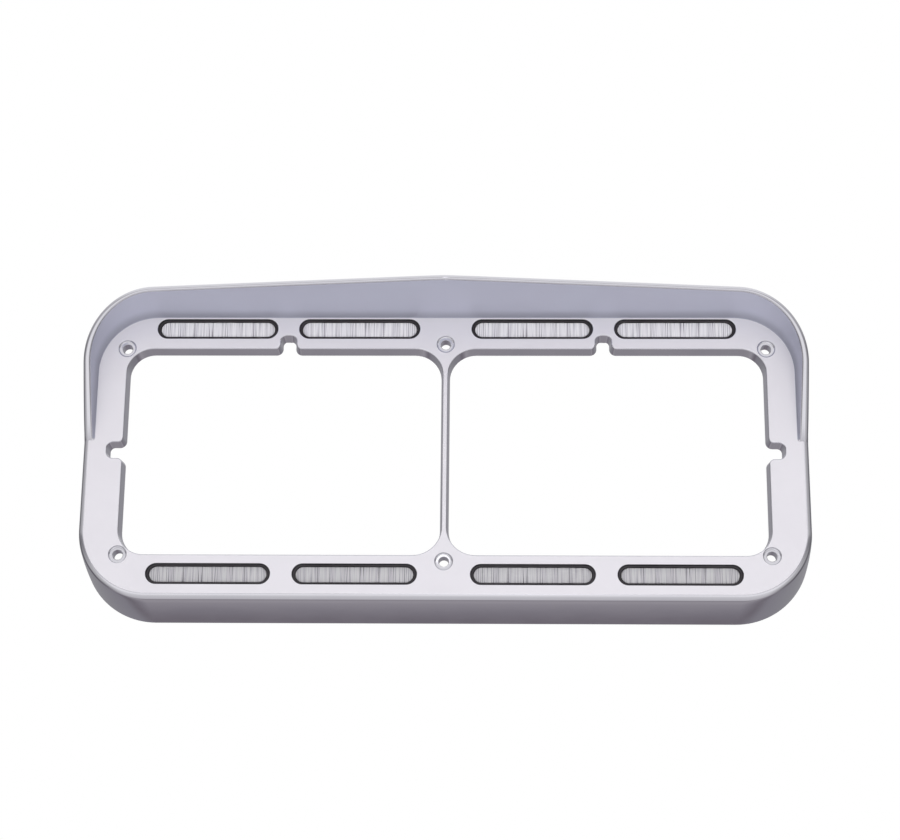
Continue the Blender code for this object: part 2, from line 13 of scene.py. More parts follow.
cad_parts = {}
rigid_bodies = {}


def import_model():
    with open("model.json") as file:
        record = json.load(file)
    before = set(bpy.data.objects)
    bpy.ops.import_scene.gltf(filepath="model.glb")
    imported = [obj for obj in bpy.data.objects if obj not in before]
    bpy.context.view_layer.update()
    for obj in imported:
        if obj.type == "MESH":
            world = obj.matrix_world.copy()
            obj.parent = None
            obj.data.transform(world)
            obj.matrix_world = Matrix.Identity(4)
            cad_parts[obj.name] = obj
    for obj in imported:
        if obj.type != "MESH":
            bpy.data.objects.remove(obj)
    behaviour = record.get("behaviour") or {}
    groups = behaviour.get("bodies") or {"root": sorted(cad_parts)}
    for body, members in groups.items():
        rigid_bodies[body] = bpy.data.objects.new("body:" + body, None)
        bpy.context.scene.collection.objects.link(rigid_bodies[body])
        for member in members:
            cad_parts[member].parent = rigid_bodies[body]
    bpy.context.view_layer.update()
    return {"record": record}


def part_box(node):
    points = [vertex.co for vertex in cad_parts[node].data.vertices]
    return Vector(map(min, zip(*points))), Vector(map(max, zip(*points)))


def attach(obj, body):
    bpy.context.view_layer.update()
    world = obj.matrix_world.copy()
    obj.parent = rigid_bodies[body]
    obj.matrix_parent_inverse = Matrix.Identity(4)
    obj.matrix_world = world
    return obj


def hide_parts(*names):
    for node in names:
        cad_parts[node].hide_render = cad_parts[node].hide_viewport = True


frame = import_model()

MM = 0.001
CHROME, SATIN, CAST, FACE = 0, 1, 2, 3  # finishes of the casting, in the order of its material slots

# Casting: the plate, the skirt behind it, and the visor in front of it.
FACE_DEPTH = 8.5
PLATE_THICK = 3.0
CORNER_R = 38.0
FLARE = 3.2  # how far the skirt widens towards its rear rim
WALL = 3.0
EDGE_R = 3.0
VISOR_SLOPE = 0.105
VISOR_POINT_SOFTNESS = 5.0
VISOR_FOOT_Z = 5.4
VISOR_TAPER = 0.75
VISOR_FULL_AT = 38.0  # visor depth at which the rim has its full section
VISOR_RIM = 2.8
VISOR_INSET = 5.5
RIM_R = 1.2
FACE_LIP = 4.6
CREASE_R = 0.7
POCKET_R = 1.3
REAR_RIM_R = 0.5
SKIRT_CROWN = 0.35  # how far the skirt bulges between face and rear rim
SATIN_FROM = 1.0  # visor depth from which its underside is left unpolished
FACING = 0.99  # least part of a face's direction that points forward on the face plate
FACE_TOLERANCE = 0.1

# Headlamp openings; the right one, mirrored for the left.
OPENING_X = (1.45, 175.6)
OPENING_HALF_HEIGHT = 58.9
OPENING_TOP_R = 14.5
OPENING_BOTTOM_R = 14.0
DIVIDER_R = 15.5
OPENING_EDGE_R = 0.7
OPENING_DRAFT = 0.9
FLANGE_WALL = 2.5
FLANGE_RIM_R = 0.5
NOTCH_TOP_X = 86.8
NOTCH_TOP_HALF = 4.4
NOTCH_TOP_Z = 66.8
NOTCH_SIDE_HALF = 4.6
NOTCH_SIDE_X = 184.4
NOTCH_END_R = 3.6
NOTCH_MOUTH_R = 2.8
NOTCH_WALL = 2.0
NOTCH_FOOT_R = 1.5

# Screw holes and bosses.
HOLE_R = 2.75
HOLE_EDGE_R = 0.35
COUNTERBORE_R = 4.8
COUNTERBORE_DEPTH = 1.2
COUNTERBORE_DISH = 0.8
SEAT_POINT_X = 3.8  # a screw seat's point lies this far beside its hole's axis
HOLE_CHAMFER = 0.2
HOLE_BOSS_R = 5.2
SMALL_BOSS_R = 2.9
BOSS_FILLET = 0.8
BOSS_FILLET_MIDDLE = 0.25
BOSS_EDGE_R = 0.3
PILOT_R = 1.4
PILOT_FLARE = 0.5
SCREW_GRIP = 6.8  # from a small screw's seat to its point
SCREW_HEAD = 1.5
SCREW_TURN = 0.7  # radians from one screw's recess to the next one's

# Marker lamps.
SLOT = (33.4, 5.7)  # half length and half height of an obround
SLOT_EDGE_R = 0.35
GASKET_SHOULDER_Y = -5.2
GASKET_LIP_R = 0.45
GASKET_SLOT_GAP = 0.15
GASKET_LENS_GAP = 0.1
LENS_EDGE_R = 0.4
LENS_BODY = (31.6, 4.35)  # half length and half height
LENS_FLANGE = 1.8
LENS_LOWER_SHADE = 0.6  # share of light left on the lower lenses by painted shade
FLUTE_PITCH = 0.75
FLUTE_DEPTH = 0.28
HOUSING_WALL = 1.5
HOUSING_LEDGE = 1.3
LEDGE_DEPTH = 2.1
FLOOR_THICK = 1.8
LED_COUNT = 7
LED_PITCH = 8.1
LED_SIZE = (3.5, 1.0, 2.8)
EAR_FRONT = 4.1  # a screw ear's front behind the housing's mouth
EAR_THICK = 2.0

GAP = 0.3  # clearance between pieces that touch
OVERLAP = 1.0  # how far cutters and joined shapes run past a surface

# Steps along curves and round edges.
ARC_STEPS = 26
VISOR_STEPS = 30
TOP_STEPS = 34
CORNER_STEPS = 12
LAMP_STEPS = 18
ROUND_STEPS = 40
EDGE_STEPS = 6
SKIRT_STEPS = 10
SMALL_STEPS = 24
DOME_STEPS = 20


LAMPS = [f"{row}_{number}" for row in ("top", "bottom") for number in (1, 2, 3, 4)]
CLIPS = [f"{row}_{side}" for row in ("top", "bottom") for side in ("left", "right")]
SMALL_SCREWS = [f"lamp_screw_{label}" for label in LAMPS] + [f"clip_screw_{label}" for label in CLIPS]
SMALL_SCREWS += ["socket_screw_left", "socket_screw_right"]


def box_mm(node):
    low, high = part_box(node)
    return low / MM, high / MM


def centre_mm(node):
    low, high = box_mm(node)
    return (low + high) / 2


casting_low, casting_high = box_mm("bezel_casting")
HALF_WIDTH = casting_high.x - FLARE
HALF_HEIGHT = casting_high.z - FLARE
SKIRT_BACK_Y = casting_high.y
SEAT_Y = 0.0
FACE_Y = SEAT_Y - FACE_DEPTH
PLATE_BACK_Y = FACE_Y + PLATE_THICK
SKIRT_DEPTH = SKIRT_BACK_Y - FACE_Y
VISOR_TIP = FACE_Y - casting_low.y
FORWARD, BACKWARD = FACE_Y - 2.0, SEAT_Y + 2.0  # where cutters through the plate start and end


def mix(a, b, share):
    return a + (b - a) * share


def smooth(value):
    """A value kept between 0 and 1, easing in and out."""
    value = min(max(value, 0.0), 1.0)
    return value * value * (3 - 2 * value)


# Outlines in the XZ plane, anticlockwise as seen from the front.


def obround(half_length, half_height, centre=(0.0, 0.0), steps=LAMP_STEPS):
    run = half_length - half_height
    points = []
    for side, start in ((1, -90), (-1, 90)):
        for i in range(steps + 1):
            angle = math.radians(start + 180 * i / steps)
            x = centre[0] + side * run + half_height * math.cos(angle)
            points.append((x, centre[1] + half_height * math.sin(angle)))
    return points


def circle(radius, centre=(0.0, 0.0), steps=ROUND_STEPS):
    turns = [2 * math.pi * i / steps for i in range(steps)]
    return [(centre[0] + radius * math.cos(t), centre[1] + radius * math.sin(t)) for t in turns]


def rounded(corners, grow=0.0, steps=CORNER_STEPS):
    """A right-angled outline with rounded corners, given as (x, z, radius), moved outwards by grow."""
    points = []
    for i, (x, z, radius) in enumerate(corners):
        here = Vector((x, z))
        before = (here - Vector(corners[i - 1][:2])).normalized()
        after = (Vector(corners[(i + 1) % len(corners)][:2]) - here).normalized()
        turn = before.x * after.y - before.y * after.x
        here += grow * Vector((before.y + after.y, -before.x - after.x))
        radius += grow * turn
        centre = here + radius * (after - before)
        for j in range(steps + 1):
            angle = math.pi / 2 * j / steps
            points.append(tuple(centre + radius * (before * math.sin(angle) - after * math.cos(angle))))
    return points


def rectangle(x_range, z_range, radius, grow=0.0, steps=5):
    (x0, x1), (z0, z1) = x_range, z_range
    corners = [(x0, z0, radius), (x1, z0, radius), (x1, z1, radius), (x0, z1, radius)]
    return rounded(corners, grow, steps)


def mirrored(outline):
    """The outline on the other side of X, still anticlockwise."""
    return [(-x, z) for x, z in reversed(outline)]


# Meshes.


def ring_at(outline, y):
    return [(x, y, z) for x, z in outline]


def loft(rings, closed=False, finish_at=None, caps=(0, 0)):
    """A mesh through rings of equal length, with a finish for each cap, and each face by band and place."""
    work = bmesh.new()
    rows = [[work.verts.new(Vector(point) * MM) for point in ring] for ring in rings]
    pairs = list(zip(rows, rows[1:]))
    if closed:
        pairs.append((rows[-1], rows[0]))
    else:
        work.faces.new(rows[0]).material_index = caps[0]
        work.faces.new(rows[-1]).material_index = caps[1]
    for band, (low, high) in enumerate(pairs):
        for i in range(len(low)):
            face = work.faces.new((low[i - 1], low[i], high[i], high[i - 1]))
            face.material_index = finish_at(band, i) if finish_at else caps[0]
    bmesh.ops.recalc_face_normals(work, faces=work.faces)
    mesh = bpy.data.meshes.new("shape")
    work.to_mesh(mesh)
    work.free()
    return mesh


def front_round(y, radius, steps=EDGE_STEPS):
    """(grow, y) rows that round the front edge of a prism whose front is at y."""
    turns = [math.pi / 2 * i / steps for i in range(steps + 1)]
    return [(radius * (math.sin(t) - 1), y + radius * (1 - math.cos(t))) for t in turns]


def back_round(y, radius, steps=EDGE_STEPS):
    """(grow, y) rows that round the rear edge of a prism whose rear is at y."""
    return [(grow, 2 * y - depth) for grow, depth in reversed(front_round(y, radius, steps))]


def prism(outline_at, rows, finish=0):
    """A solid through (grow, y) rows of an outline that can be moved in or out."""
    return loft([ring_at(outline_at(grow), y) for grow, y in rows], caps=(finish, finish))


def turned(profile, centre=(0.0, 0.0), steps=ROUND_STEPS, finish=0, closed=False):
    """A solid turned about an axis along Y, from (radius, y) pairs."""
    rings = [ring_at(circle(radius, centre, steps), y) for radius, y in profile]
    return loft(rings, closed, caps=(finish, finish))


def joined(meshes):
    """One mesh that holds several, each still a separate body."""
    work = bmesh.new()
    for mesh in meshes:
        work.from_mesh(mesh)
    result = bpy.data.meshes.new("joined")
    work.to_mesh(result)
    work.free()
    return result


def combined(mesh, added=(), removed=(), materials=()):
    """One mesh with shapes joined to it and others cut from it; faces keep their material's place."""
    obj = bpy.data.objects.new("base", mesh)
    bpy.context.scene.collection.objects.link(obj)
    groups = []
    for name, meshes, operation in (("added", added, "UNION"), ("removed", removed, "DIFFERENCE")):
        if not meshes:
            continue
        group = bpy.data.collections.new(name)
        bpy.context.scene.collection.children.link(group)
        groups.append(group)
        for shape in meshes:
            for material in materials:
                shape.materials.append(material)
            group.objects.link(bpy.data.objects.new(name, shape))
        modifier = obj.modifiers.new(name, "BOOLEAN")
        modifier.operand_type = "COLLECTION"
        modifier.collection = group
        modifier.operation = operation
        modifier.solver = "EXACT"
        modifier.use_self = operation == "UNION"
    for material in materials:
        mesh.materials.append(material)
    graph = bpy.context.evaluated_depsgraph_get()
    result = bpy.data.meshes.new_from_object(obj.evaluated_get(graph))
    for helper in [obj, *(o for group in groups for o in group.objects)]:
        bpy.data.objects.remove(helper)
    for group in groups:
        bpy.data.collections.remove(group)
    return result


def piece(name, mesh, material, slot, *nodes, place=(0.0, 0.0, 0.0), turn=0.0, sharp=32):
    """A finished piece of the object, which stands for its CAD nodes."""
    obj = bpy.data.objects.new(name, mesh)
    bpy.context.scene.collection.objects.link(obj)
    if not mesh.materials:
        mesh.materials.append(material)
    mesh.shade_smooth()
    mesh.set_sharp_from_angle(angle=math.radians(sharp))
    obj.location = Vector(place) * MM
    obj.rotation_euler.y = turn
    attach(obj, "root")
    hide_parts(*nodes)
    return obj


# Materials.


def add(tree, kind, settings=None, **inputs):
    """A shader node with its settings, its inputs given as values or as other nodes' sockets."""
    made = tree.nodes.new(kind)
    for name, value in (settings or {}).items():
        setattr(made, name, value)
    for name, value in inputs.items():
        socket = made.inputs[int(name[1:])] if name[0] == "_" else made.inputs[name.replace("_", " ")]
        if isinstance(value, bpy.types.NodeSocket):
            tree.links.new(value, socket)
        else:
            socket.default_value = value
    return made


def maths(tree, operation, *values):
    """The result of a Math node."""
    inputs = {f"_{i}": value for i, value in enumerate(values)}
    return add(tree, "ShaderNodeMath", {"operation": operation}, **inputs).outputs[0]


def ramp(tree, value, stops):
    """A colour ramp from (position, colour) stops."""
    made = add(tree, "ShaderNodeValToRGB", Fac=value)
    elements = made.color_ramp.elements
    while len(elements) < len(stops):
        elements.new(0.5)
    for element, (position, colour) in zip(elements, stops):
        element.position = position
        element.color = (*colour, 1.0)
    return made.outputs["Color"]


def coordinates(tree, scale=(1.0, 1.0, 1.0)):
    """Places on the piece, in metres times the scale."""
    source = add(tree, "ShaderNodeTexCoord").outputs["Object"]
    return add(tree, "ShaderNodeMapping", Vector=source, Scale=scale).outputs["Vector"]


def noise(tree, scale, detail=3.0, roughness=0.5, stretch=(1.0, 1.0, 1.0), distortion=0.0):
    """Noise over the piece; the scale is in cells per metre."""
    made = add(tree, "ShaderNodeTexNoise", Vector=coordinates(tree, stretch), Scale=scale, Detail=detail,
               Roughness=roughness, Distortion=distortion)
    return made.outputs["Fac"]


def spread(tree, value, low, high, from_low=0.3, from_high=0.7):
    """A noise value spread over a range of plain numbers."""
    made = add(tree, "ShaderNodeMapRange", {"interpolation_type": "SMOOTHSTEP"}, Value=value,
               From_Min=from_low, From_Max=from_high, To_Min=low, To_Max=high)
    return made.outputs["Result"]


def bump(tree, height, strength, distance, normal=None):
    """A bumped normal; the distance is in metres."""
    made = add(tree, "ShaderNodeBump", Height=height, Strength=strength, Distance=distance)
    if normal:
        tree.links.new(normal, made.inputs["Normal"])
    return made.outputs["Normal"]


def surface(name, metallic=0.0, **plain):
    """A Principled material; values that are the same all over go straight on the shader's sockets."""
    material = bpy.data.materials.new(name)
    material.use_nodes = True
    shader = material.node_tree.nodes["Principled BSDF"]
    shader.inputs["Metallic"].default_value = metallic
    for key, value in plain.items():
        shader.inputs[key.replace("_", " ")].default_value = value
    return material, material.node_tree, shader.inputs


def chrome_material():
    """Bright plating over a polished casting: faint ripples, and a haze that comes and goes."""
    material, tree, shader = surface("polished_chrome", 1.0)
    haze = noise(tree, scale=38.0, detail=5.0, roughness=0.6)
    tone = [(0.3, (0.80, 0.80, 0.83)), (0.7, (0.84, 0.84, 0.865))]
    tree.links.new(ramp(tree, haze, tone), shader["Base Color"])
    tree.links.new(spread(tree, haze, 0.06, 0.12), shader["Roughness"])
    ripple = noise(tree, scale=26.0, detail=1.5)
    tree.links.new(bump(tree, ripple, 0.35, 0.00005), shader["Normal"])
    return material


def face_material():
    """Plating over the blasted face plate: a soft even sheen with a fine grain, which hardly mirrors."""
    material, tree, shader = surface("face_plating", 0.45)
    cloud = noise(tree, scale=30.0, detail=5.0, roughness=0.6)
    tone = [(0.3, (0.745, 0.73, 0.76)), (0.7, (0.775, 0.76, 0.79))]
    tree.links.new(ramp(tree, cloud, tone), shader["Base Color"])
    tree.links.new(spread(tree, cloud, 0.34, 0.42), shader["Roughness"])
    grain = noise(tree, scale=2200.0, detail=3.0, roughness=0.6)
    tree.links.new(bump(tree, grain, 0.2, 0.00003), shader["Normal"])
    return material


def satin_material():
    """Thinner plating under the visor, where polishing wheels don't reach: cloudy, with painted shade
    darkening it towards the crease.
    """
    material, tree, shader = surface("satin_chrome", 0.5)
    cloud = noise(tree, scale=24.0, detail=4.0, roughness=0.55)
    tone = ramp(tree, cloud, [(0.3, (0.50, 0.505, 0.60)), (0.7, (0.515, 0.525, 0.62))])
    depth = add(tree, "ShaderNodeSeparateXYZ", Vector=coordinates(tree)).outputs["Y"]
    # painted shade: the base colour darkens towards the crease with the face, down to 0.70 of its tone
    shade_start, shade_end = FACE_Y - 11.0, FACE_Y - 0.5
    painted_crease_shade = spread(tree, depth, 1.0, 0.70, shade_start * MM, shade_end * MM)
    shade = add(tree, "ShaderNodeVectorMath", {"operation": "SCALE"}, _0=tone, Scale=painted_crease_shade).outputs["Vector"]
    tree.links.new(shade, shader["Base Color"])
    tree.links.new(spread(tree, cloud, 0.52, 0.60), shader["Roughness"])
    grain = noise(tree, scale=2600.0, detail=3.0, roughness=0.6)
    tree.links.new(bump(tree, grain, 0.25, 0.00003), shader["Normal"])
    return material


def cast_material():
    """The plated but unpolished back of the casting, with its foundry skin and dull patches."""
    material, tree, shader = surface("cast_back", 0.8)
    patches = noise(tree, scale=30.0, detail=5.0, roughness=0.6, distortion=0.4)
    skin = noise(tree, scale=900.0, detail=4.0, roughness=0.65)
    tone = [(0.25, (0.54, 0.54, 0.56)), (0.6, (0.66, 0.66, 0.68)), (0.85, (0.72, 0.72, 0.74))]
    tree.links.new(ramp(tree, patches, tone), shader["Base Color"])
    tree.links.new(spread(tree, patches, 0.50, 0.30), shader["Roughness"])
    swell = noise(tree, scale=120.0, detail=2.0)
    rough = bump(tree, skin, 0.45, 0.00008)
    tree.links.new(bump(tree, swell, 0.25, 0.0003, rough), shader["Normal"])
    return material


def lens_material(name, shade_factor):
    """Clear acrylic, clouded, with painted shade in uneven dark lines along its flutes, a faint painted light
    over each emitter, and a painted shade factor that dims the whole colour.
    """
    plain = {"IOR": 1.49, "Transmission_Weight": 0.30, "Coat_Weight": 0.35, "Coat_Roughness": 0.04}
    material, tree, shader = surface(name, **plain)
    place = add(tree, "ShaderNodeSeparateXYZ", Vector=coordinates(tree)).outputs["X"]
    # painted shade: uneven dark lines along the flutes, from noise stretched along them
    coarse = noise(tree, scale=800.0, detail=3.0, roughness=0.75, stretch=(1.0, 0.0, 0.012))
    fine = noise(tree, scale=2100.0, detail=2.0, roughness=0.7, stretch=(1.0, 0.0, 0.008))
    # painted light: the colour brightens a little over each emitter, at the emitters' pitch
    turns = maths(tree, "MULTIPLY", place, 2 * math.pi / (LED_PITCH * MM))
    painted_emitter_light = maths(tree, "COSINE", turns)
    painted_flute_shade = maths(tree, "MULTIPLY_ADD", fine, 1.1, coarse)
    level = maths(tree, "MULTIPLY_ADD", painted_emitter_light, 0.04, painted_flute_shade)
    tone = [
        (0.82, (0.10, 0.09, 0.11)),
        (0.93, (0.46, 0.445, 0.49)),
        (1.00, (0.86, 0.845, 0.89)),
        (1.14, (1.0, 0.99, 1.0)),
    ]
    lowest, reach = 0.5, 1.1
    # painted shade: every colour is scaled by the shade factor, which dims the lower row
    tone = [((at - lowest) / reach, tuple(shade_factor * part for part in colour)) for at, colour in tone]
    share = add(tree, "ShaderNodeMapRange", Value=level, From_Min=lowest, From_Max=lowest + reach)
    tree.links.new(ramp(tree, share.outputs["Result"], tone), shader["Base Color"])
    tree.links.new(spread(tree, noise(tree, scale=300.0), 0.10, 0.20), shader["Roughness"])
    return material


def plastic_material(name, dark, light, roughness, grain_scale=1800.0, grain=0.3):
    """Moulded plastic with a fine grain and a slight unevenness of colour and shine."""
    material, tree, shader = surface(name, Specular_IOR_Level=0.45)
    cloud = noise(tree, scale=70.0, detail=4.0, roughness=0.55)
    tree.links.new(ramp(tree, cloud, [(0.3, dark), (0.7, light)]), shader["Base Color"])
    unevenness = 0.07
    tree.links.new(spread(tree, cloud, roughness - unevenness, roughness + unevenness), shader["Roughness"])
    tree.links.new(bump(tree, noise(tree, scale=grain_scale, detail=2.0), grain, 0.00005), shader["Normal"])
    return material


def board_material():
    """White solder mask with faint copper tracks under it."""
    material, tree, shader = surface("white_board", Specular_IOR_Level=0.5)
    mask, track = (1, 1, 1, 1), (0, 0, 0, 1)
    spaced = coordinates(tree, (170.0, 1.0, 260.0))
    tracks = add(tree, "ShaderNodeTexBrick", Vector=spaced, Color1=mask, Color2=mask, Mortar=track,
                 Mortar_Size=0.03).outputs["Color"]
    tone = [(0.0, (0.66, 0.67, 0.62)), (1.0, (0.85, 0.85, 0.84))]
    tree.links.new(ramp(tree, tracks, tone), shader["Base Color"])
    tree.links.new(spread(tree, noise(tree, scale=500.0), 0.28, 0.42), shader["Roughness"])
    tree.links.new(bump(tree, tracks, 0.3, 0.00003), shader["Normal"])
    return material


def emitter_material():
    """The domed resin over each light emitter, whitish with a yellow cast at rest."""
    plain = {"Coat_Weight": 0.6, "Coat_Roughness": 0.08, "Subsurface_Weight": 0.2, "Subsurface_Scale": 0.001}
    material, tree, shader = surface("emitter_resin", **plain)
    cloud = noise(tree, scale=900.0, detail=3.0)
    tone = [(0.3, (0.80, 0.79, 0.66)), (0.7, (0.90, 0.89, 0.80))]
    tree.links.new(ramp(tree, cloud, tone), shader["Base Color"])
    tree.links.new(spread(tree, cloud, 0.2, 0.35), shader["Roughness"])
    return material


def steel_material():
    """Zinc-plated steel: a greyish shine with a hint of straw, and fine turning marks."""
    material, tree, shader = surface("zinc_steel", 1.0)
    cloud = noise(tree, scale=420.0, detail=4.0, roughness=0.6)
    tone = [(0.25, (0.50, 0.50, 0.49)), (0.55, (0.62, 0.62, 0.61)), (0.8, (0.68, 0.67, 0.63))]
    tree.links.new(ramp(tree, cloud, tone), shader["Base Color"])
    tree.links.new(spread(tree, cloud, 0.24, 0.38), shader["Roughness"])
    tree.links.new(bump(tree, noise(tree, scale=3200.0, detail=2.0), 0.2, 0.00003), shader["Normal"])
    return material


def brass_material():
    """Tinned brass, with the brass showing through in places."""
    material, tree, shader = surface("tinned_brass", 1.0)
    cloud = noise(tree, scale=900.0, detail=3.0)
    tone = [(0.3, (0.62, 0.52, 0.33)), (0.7, (0.74, 0.68, 0.55))]
    tree.links.new(ramp(tree, cloud, tone), shader["Base Color"])
    tree.links.new(spread(tree, cloud, 0.22, 0.34), shader["Roughness"])
    return material


def make_materials():
    """Every finish by its short name."""
    return {
        "chrome": chrome_material(),
        "satin": satin_material(),
        "face": face_material(),
        "cast": cast_material(),
        "lens_top": lens_material("clear_acrylic", 1.0),
        # painted shade: the lower lenses get a darker copy of the lens material
        "lens_bottom": lens_material("shaded_acrylic", LENS_LOWER_SHADE),
        "rubber": plastic_material("gasket_rubber", (0.014, 0.012, 0.014), (0.030, 0.027, 0.030), 0.55,
                                   grain_scale=2400.0),
        "housing": plastic_material("housing_plastic", (0.030, 0.030, 0.032), (0.048, 0.048, 0.052), 0.42),
        "resin": plastic_material("potting_resin", (0.008, 0.008, 0.009), (0.014, 0.014, 0.016), 0.20,
                                  grain_scale=260.0, grain=0.5),
        "board": board_material(),
        "emitter": emitter_material(),
        "steel": steel_material(),
        "brass": brass_material(),
        "sleeve": plastic_material("sleeve_plastic", (0.012, 0.012, 0.013), (0.026, 0.026, 0.028), 0.46),
        "wire_black": plastic_material("wire_black", (0.012, 0.012, 0.013), (0.022, 0.022, 0.024), 0.38),
        "wire_red": plastic_material("wire_red", (0.36, 0.015, 0.012), (0.44, 0.022, 0.018), 0.36),
        "nylon": plastic_material("black_nylon", (0.018, 0.018, 0.019), (0.032, 0.032, 0.034), 0.40),
    }


# Camera, light and floor.

CAMERA_PITCH = 18.281  # degrees below level; the camera looks up at the object
CAMERA_YAW = -1.518
CAMERA_ROLL = 0.578
CAMERA_DISTANCE = 1239.1  # to the middle of the face
CAMERA_LENS = 91.28
CAMERA_SHIFT = (0.0059, 0.0337)
FLOOR_DROP = 660.0  # floor below the object's lowest point
FLOOR_HALF = 4000.0
LIGHTS = (  # name, place, width and height, watts
    ("key", (-500, -900, 1500), (900, 900), 5),
    ("rear", (500, 1300, 900), (1000, 800), 22),
    ("fill", (60, -950, -560), (1100, 700), 11),
)

# What polished metal mirrors, from straight down at 0 to straight up at 1.
ROOM_FRONT = [
    (0.0, (0.58, 0.57, 0.60)),
    (0.16, (0.70, 0.69, 0.72)),
    (0.25, (0.86, 0.85, 0.88)),
    (0.38, (0.88, 0.87, 0.90)),
    (0.47, (0.66, 0.65, 0.68)),
    (0.555, (0.40, 0.39, 0.42)),
    (0.60, (0.46, 0.45, 0.48)),
    (0.622, (0.78, 0.77, 0.80)),
    (0.69, (0.80, 0.785, 0.82)),
    (0.85, (0.76, 0.76, 0.78)),
    (1.0, (0.82, 0.82, 0.84)),
]
ROOM_BEHIND = [
    (0.0, (0.58, 0.57, 0.60)),
    (0.12, (0.50, 0.48, 0.51)),
    (0.215, (0.265, 0.25, 0.28)),
    (0.245, (0.29, 0.275, 0.30)),
    (0.274, (0.34, 0.32, 0.35)),
    (0.305, (0.225, 0.21, 0.24)),
    (0.333, (0.165, 0.148, 0.172)),
    (0.37, (0.23, 0.22, 0.25)),
    (0.55, (0.27, 0.265, 0.285)),
    (0.68, (0.32, 0.315, 0.34)),
    (0.80, (0.95, 0.95, 0.96)),
    (1.0, (0.95, 0.95, 0.96)),
]
CARD_X = (-0.050, 0.055)  # a bright card in front, by the direction it is seen in
CARD_Z = (-0.10, 0.268)
CARD_SOFT_X = 0.022
CARD_SOFT_Z = 0.006
CARD_BOOST = 1.1
FLANK_LIGHT = 0.55  # light left towards the far left and right
MIX_A, MIX_B, MIX_RESULT = 6, 7, 2  # a colour Mix node's own sockets


def make_camera():
    """A camera below and in front of the object, aimed up at the middle of its face."""
    pitch, yaw, roll = (math.radians(a) for a in (CAMERA_PITCH, CAMERA_YAW, CAMERA_ROLL))
    right = Vector((math.cos(yaw), -math.sin(yaw), 0.0))
    up = Vector((-math.sin(yaw) * math.sin(pitch), -math.cos(yaw) * math.sin(pitch), math.cos(pitch)))
    ahead = Vector((math.sin(yaw) * math.cos(pitch), math.cos(yaw) * math.cos(pitch), math.sin(pitch)))
    tilted_right = right * math.cos(roll) + up * math.sin(roll)
    tilted_up = up * math.cos(roll) - right * math.sin(roll)
    data = bpy.data.cameras.new("camera")
    data.lens = CAMERA_LENS
    data.sensor_width = 36.0
    data.shift_x, data.shift_y = CAMERA_SHIFT
    data.clip_start, data.clip_end = 0.05, 60.0
    camera = bpy.data.objects.new("camera", data)
    bpy.context.scene.collection.objects.link(camera)
    turn = Matrix((tilted_right, tilted_up, -ahead)).transposed()
    place = (Vector((0.0, FACE_Y, 0.0)) - ahead * CAMERA_DISTANCE) * MM
    camera.matrix_world = Matrix.Translation(place) @ turn.to_4x4()
    bpy.context.scene.camera = camera


def window(tree, value, low, high, soft):
    """1 where the value lies between low and high, fading over a soft edge."""
    rise = spread(tree, value, 0.0, 1.0, low - soft, low + soft)
    fall = spread(tree, value, 1.0, 0.0, high - soft, high + soft)
    return maths(tree, "MULTIPLY", rise, fall)


def make_world():
    """A soft studio: what the chrome mirrors in front and behind, and a white surround."""
    world = bpy.data.worlds.new("studio")
    bpy.context.scene.world = world
    world.use_nodes = True
    tree = world.node_tree
    tree.nodes.clear()
    direction = add(tree, "ShaderNodeTexCoord").outputs["Generated"]
    axes = add(tree, "ShaderNodeSeparateXYZ", Vector=direction).outputs
    rise = maths(tree, "MULTIPLY_ADD", axes["Z"], 0.5, 0.5)
    front = ramp(tree, rise, ROOM_FRONT)
    behind = ramp(tree, rise, ROOM_BEHIND)
    side = spread(tree, axes["Y"], 1.0, 0.0, -0.25, 0.35)
    both = add(tree, "ShaderNodeMix", {"data_type": "RGBA"}, _0=side)
    tree.links.new(behind, both.inputs[MIX_A])
    tree.links.new(front, both.inputs[MIX_B])
    across = window(tree, axes["X"], *CARD_X, CARD_SOFT_X)
    upright = window(tree, axes["Z"], *CARD_Z, CARD_SOFT_Z)
    facing = spread(tree, axes["Y"], 1.0, 0.0, -0.5, -0.2)
    card = maths(tree, "MULTIPLY", maths(tree, "MULTIPLY", across, upright), facing)
    level = maths(tree, "MULTIPLY_ADD", card, CARD_BOOST, 1.0)
    wide = maths(tree, "ABSOLUTE", axes["X"])
    flanks = spread(tree, wide, 1.0, FLANK_LIGHT, 0.45, 0.85)
    level = maths(tree, "MULTIPLY", level, flanks)
    studio = add(tree, "ShaderNodeBackground", Color=both.outputs[MIX_RESULT], Strength=level)
    surround = add(tree, "ShaderNodeBackground", Color=(1, 1, 1, 1), Strength=1.0)
    seen = add(tree, "ShaderNodeLightPath").outputs["Is Camera Ray"]
    pick = add(tree, "ShaderNodeMixShader", _0=seen, _1=studio.outputs[0], _2=surround.outputs[0])
    add(tree, "ShaderNodeOutputWorld", Surface=pick.outputs[0])


def make_light(name, place, size, energy):
    """A soft box that faces the object."""
    data = bpy.data.lights.new(name, "AREA")
    data.shape = "RECTANGLE"
    data.size, data.size_y = (side * MM for side in size)
    data.energy = energy
    light = bpy.data.objects.new(name, data)
    light.visible_glossy = False
    bpy.context.scene.collection.objects.link(light)
    place = Vector(place)
    light.matrix_world = Matrix.Translation(place * MM) @ place.to_track_quat("Z", "Y").to_matrix().to_4x4()


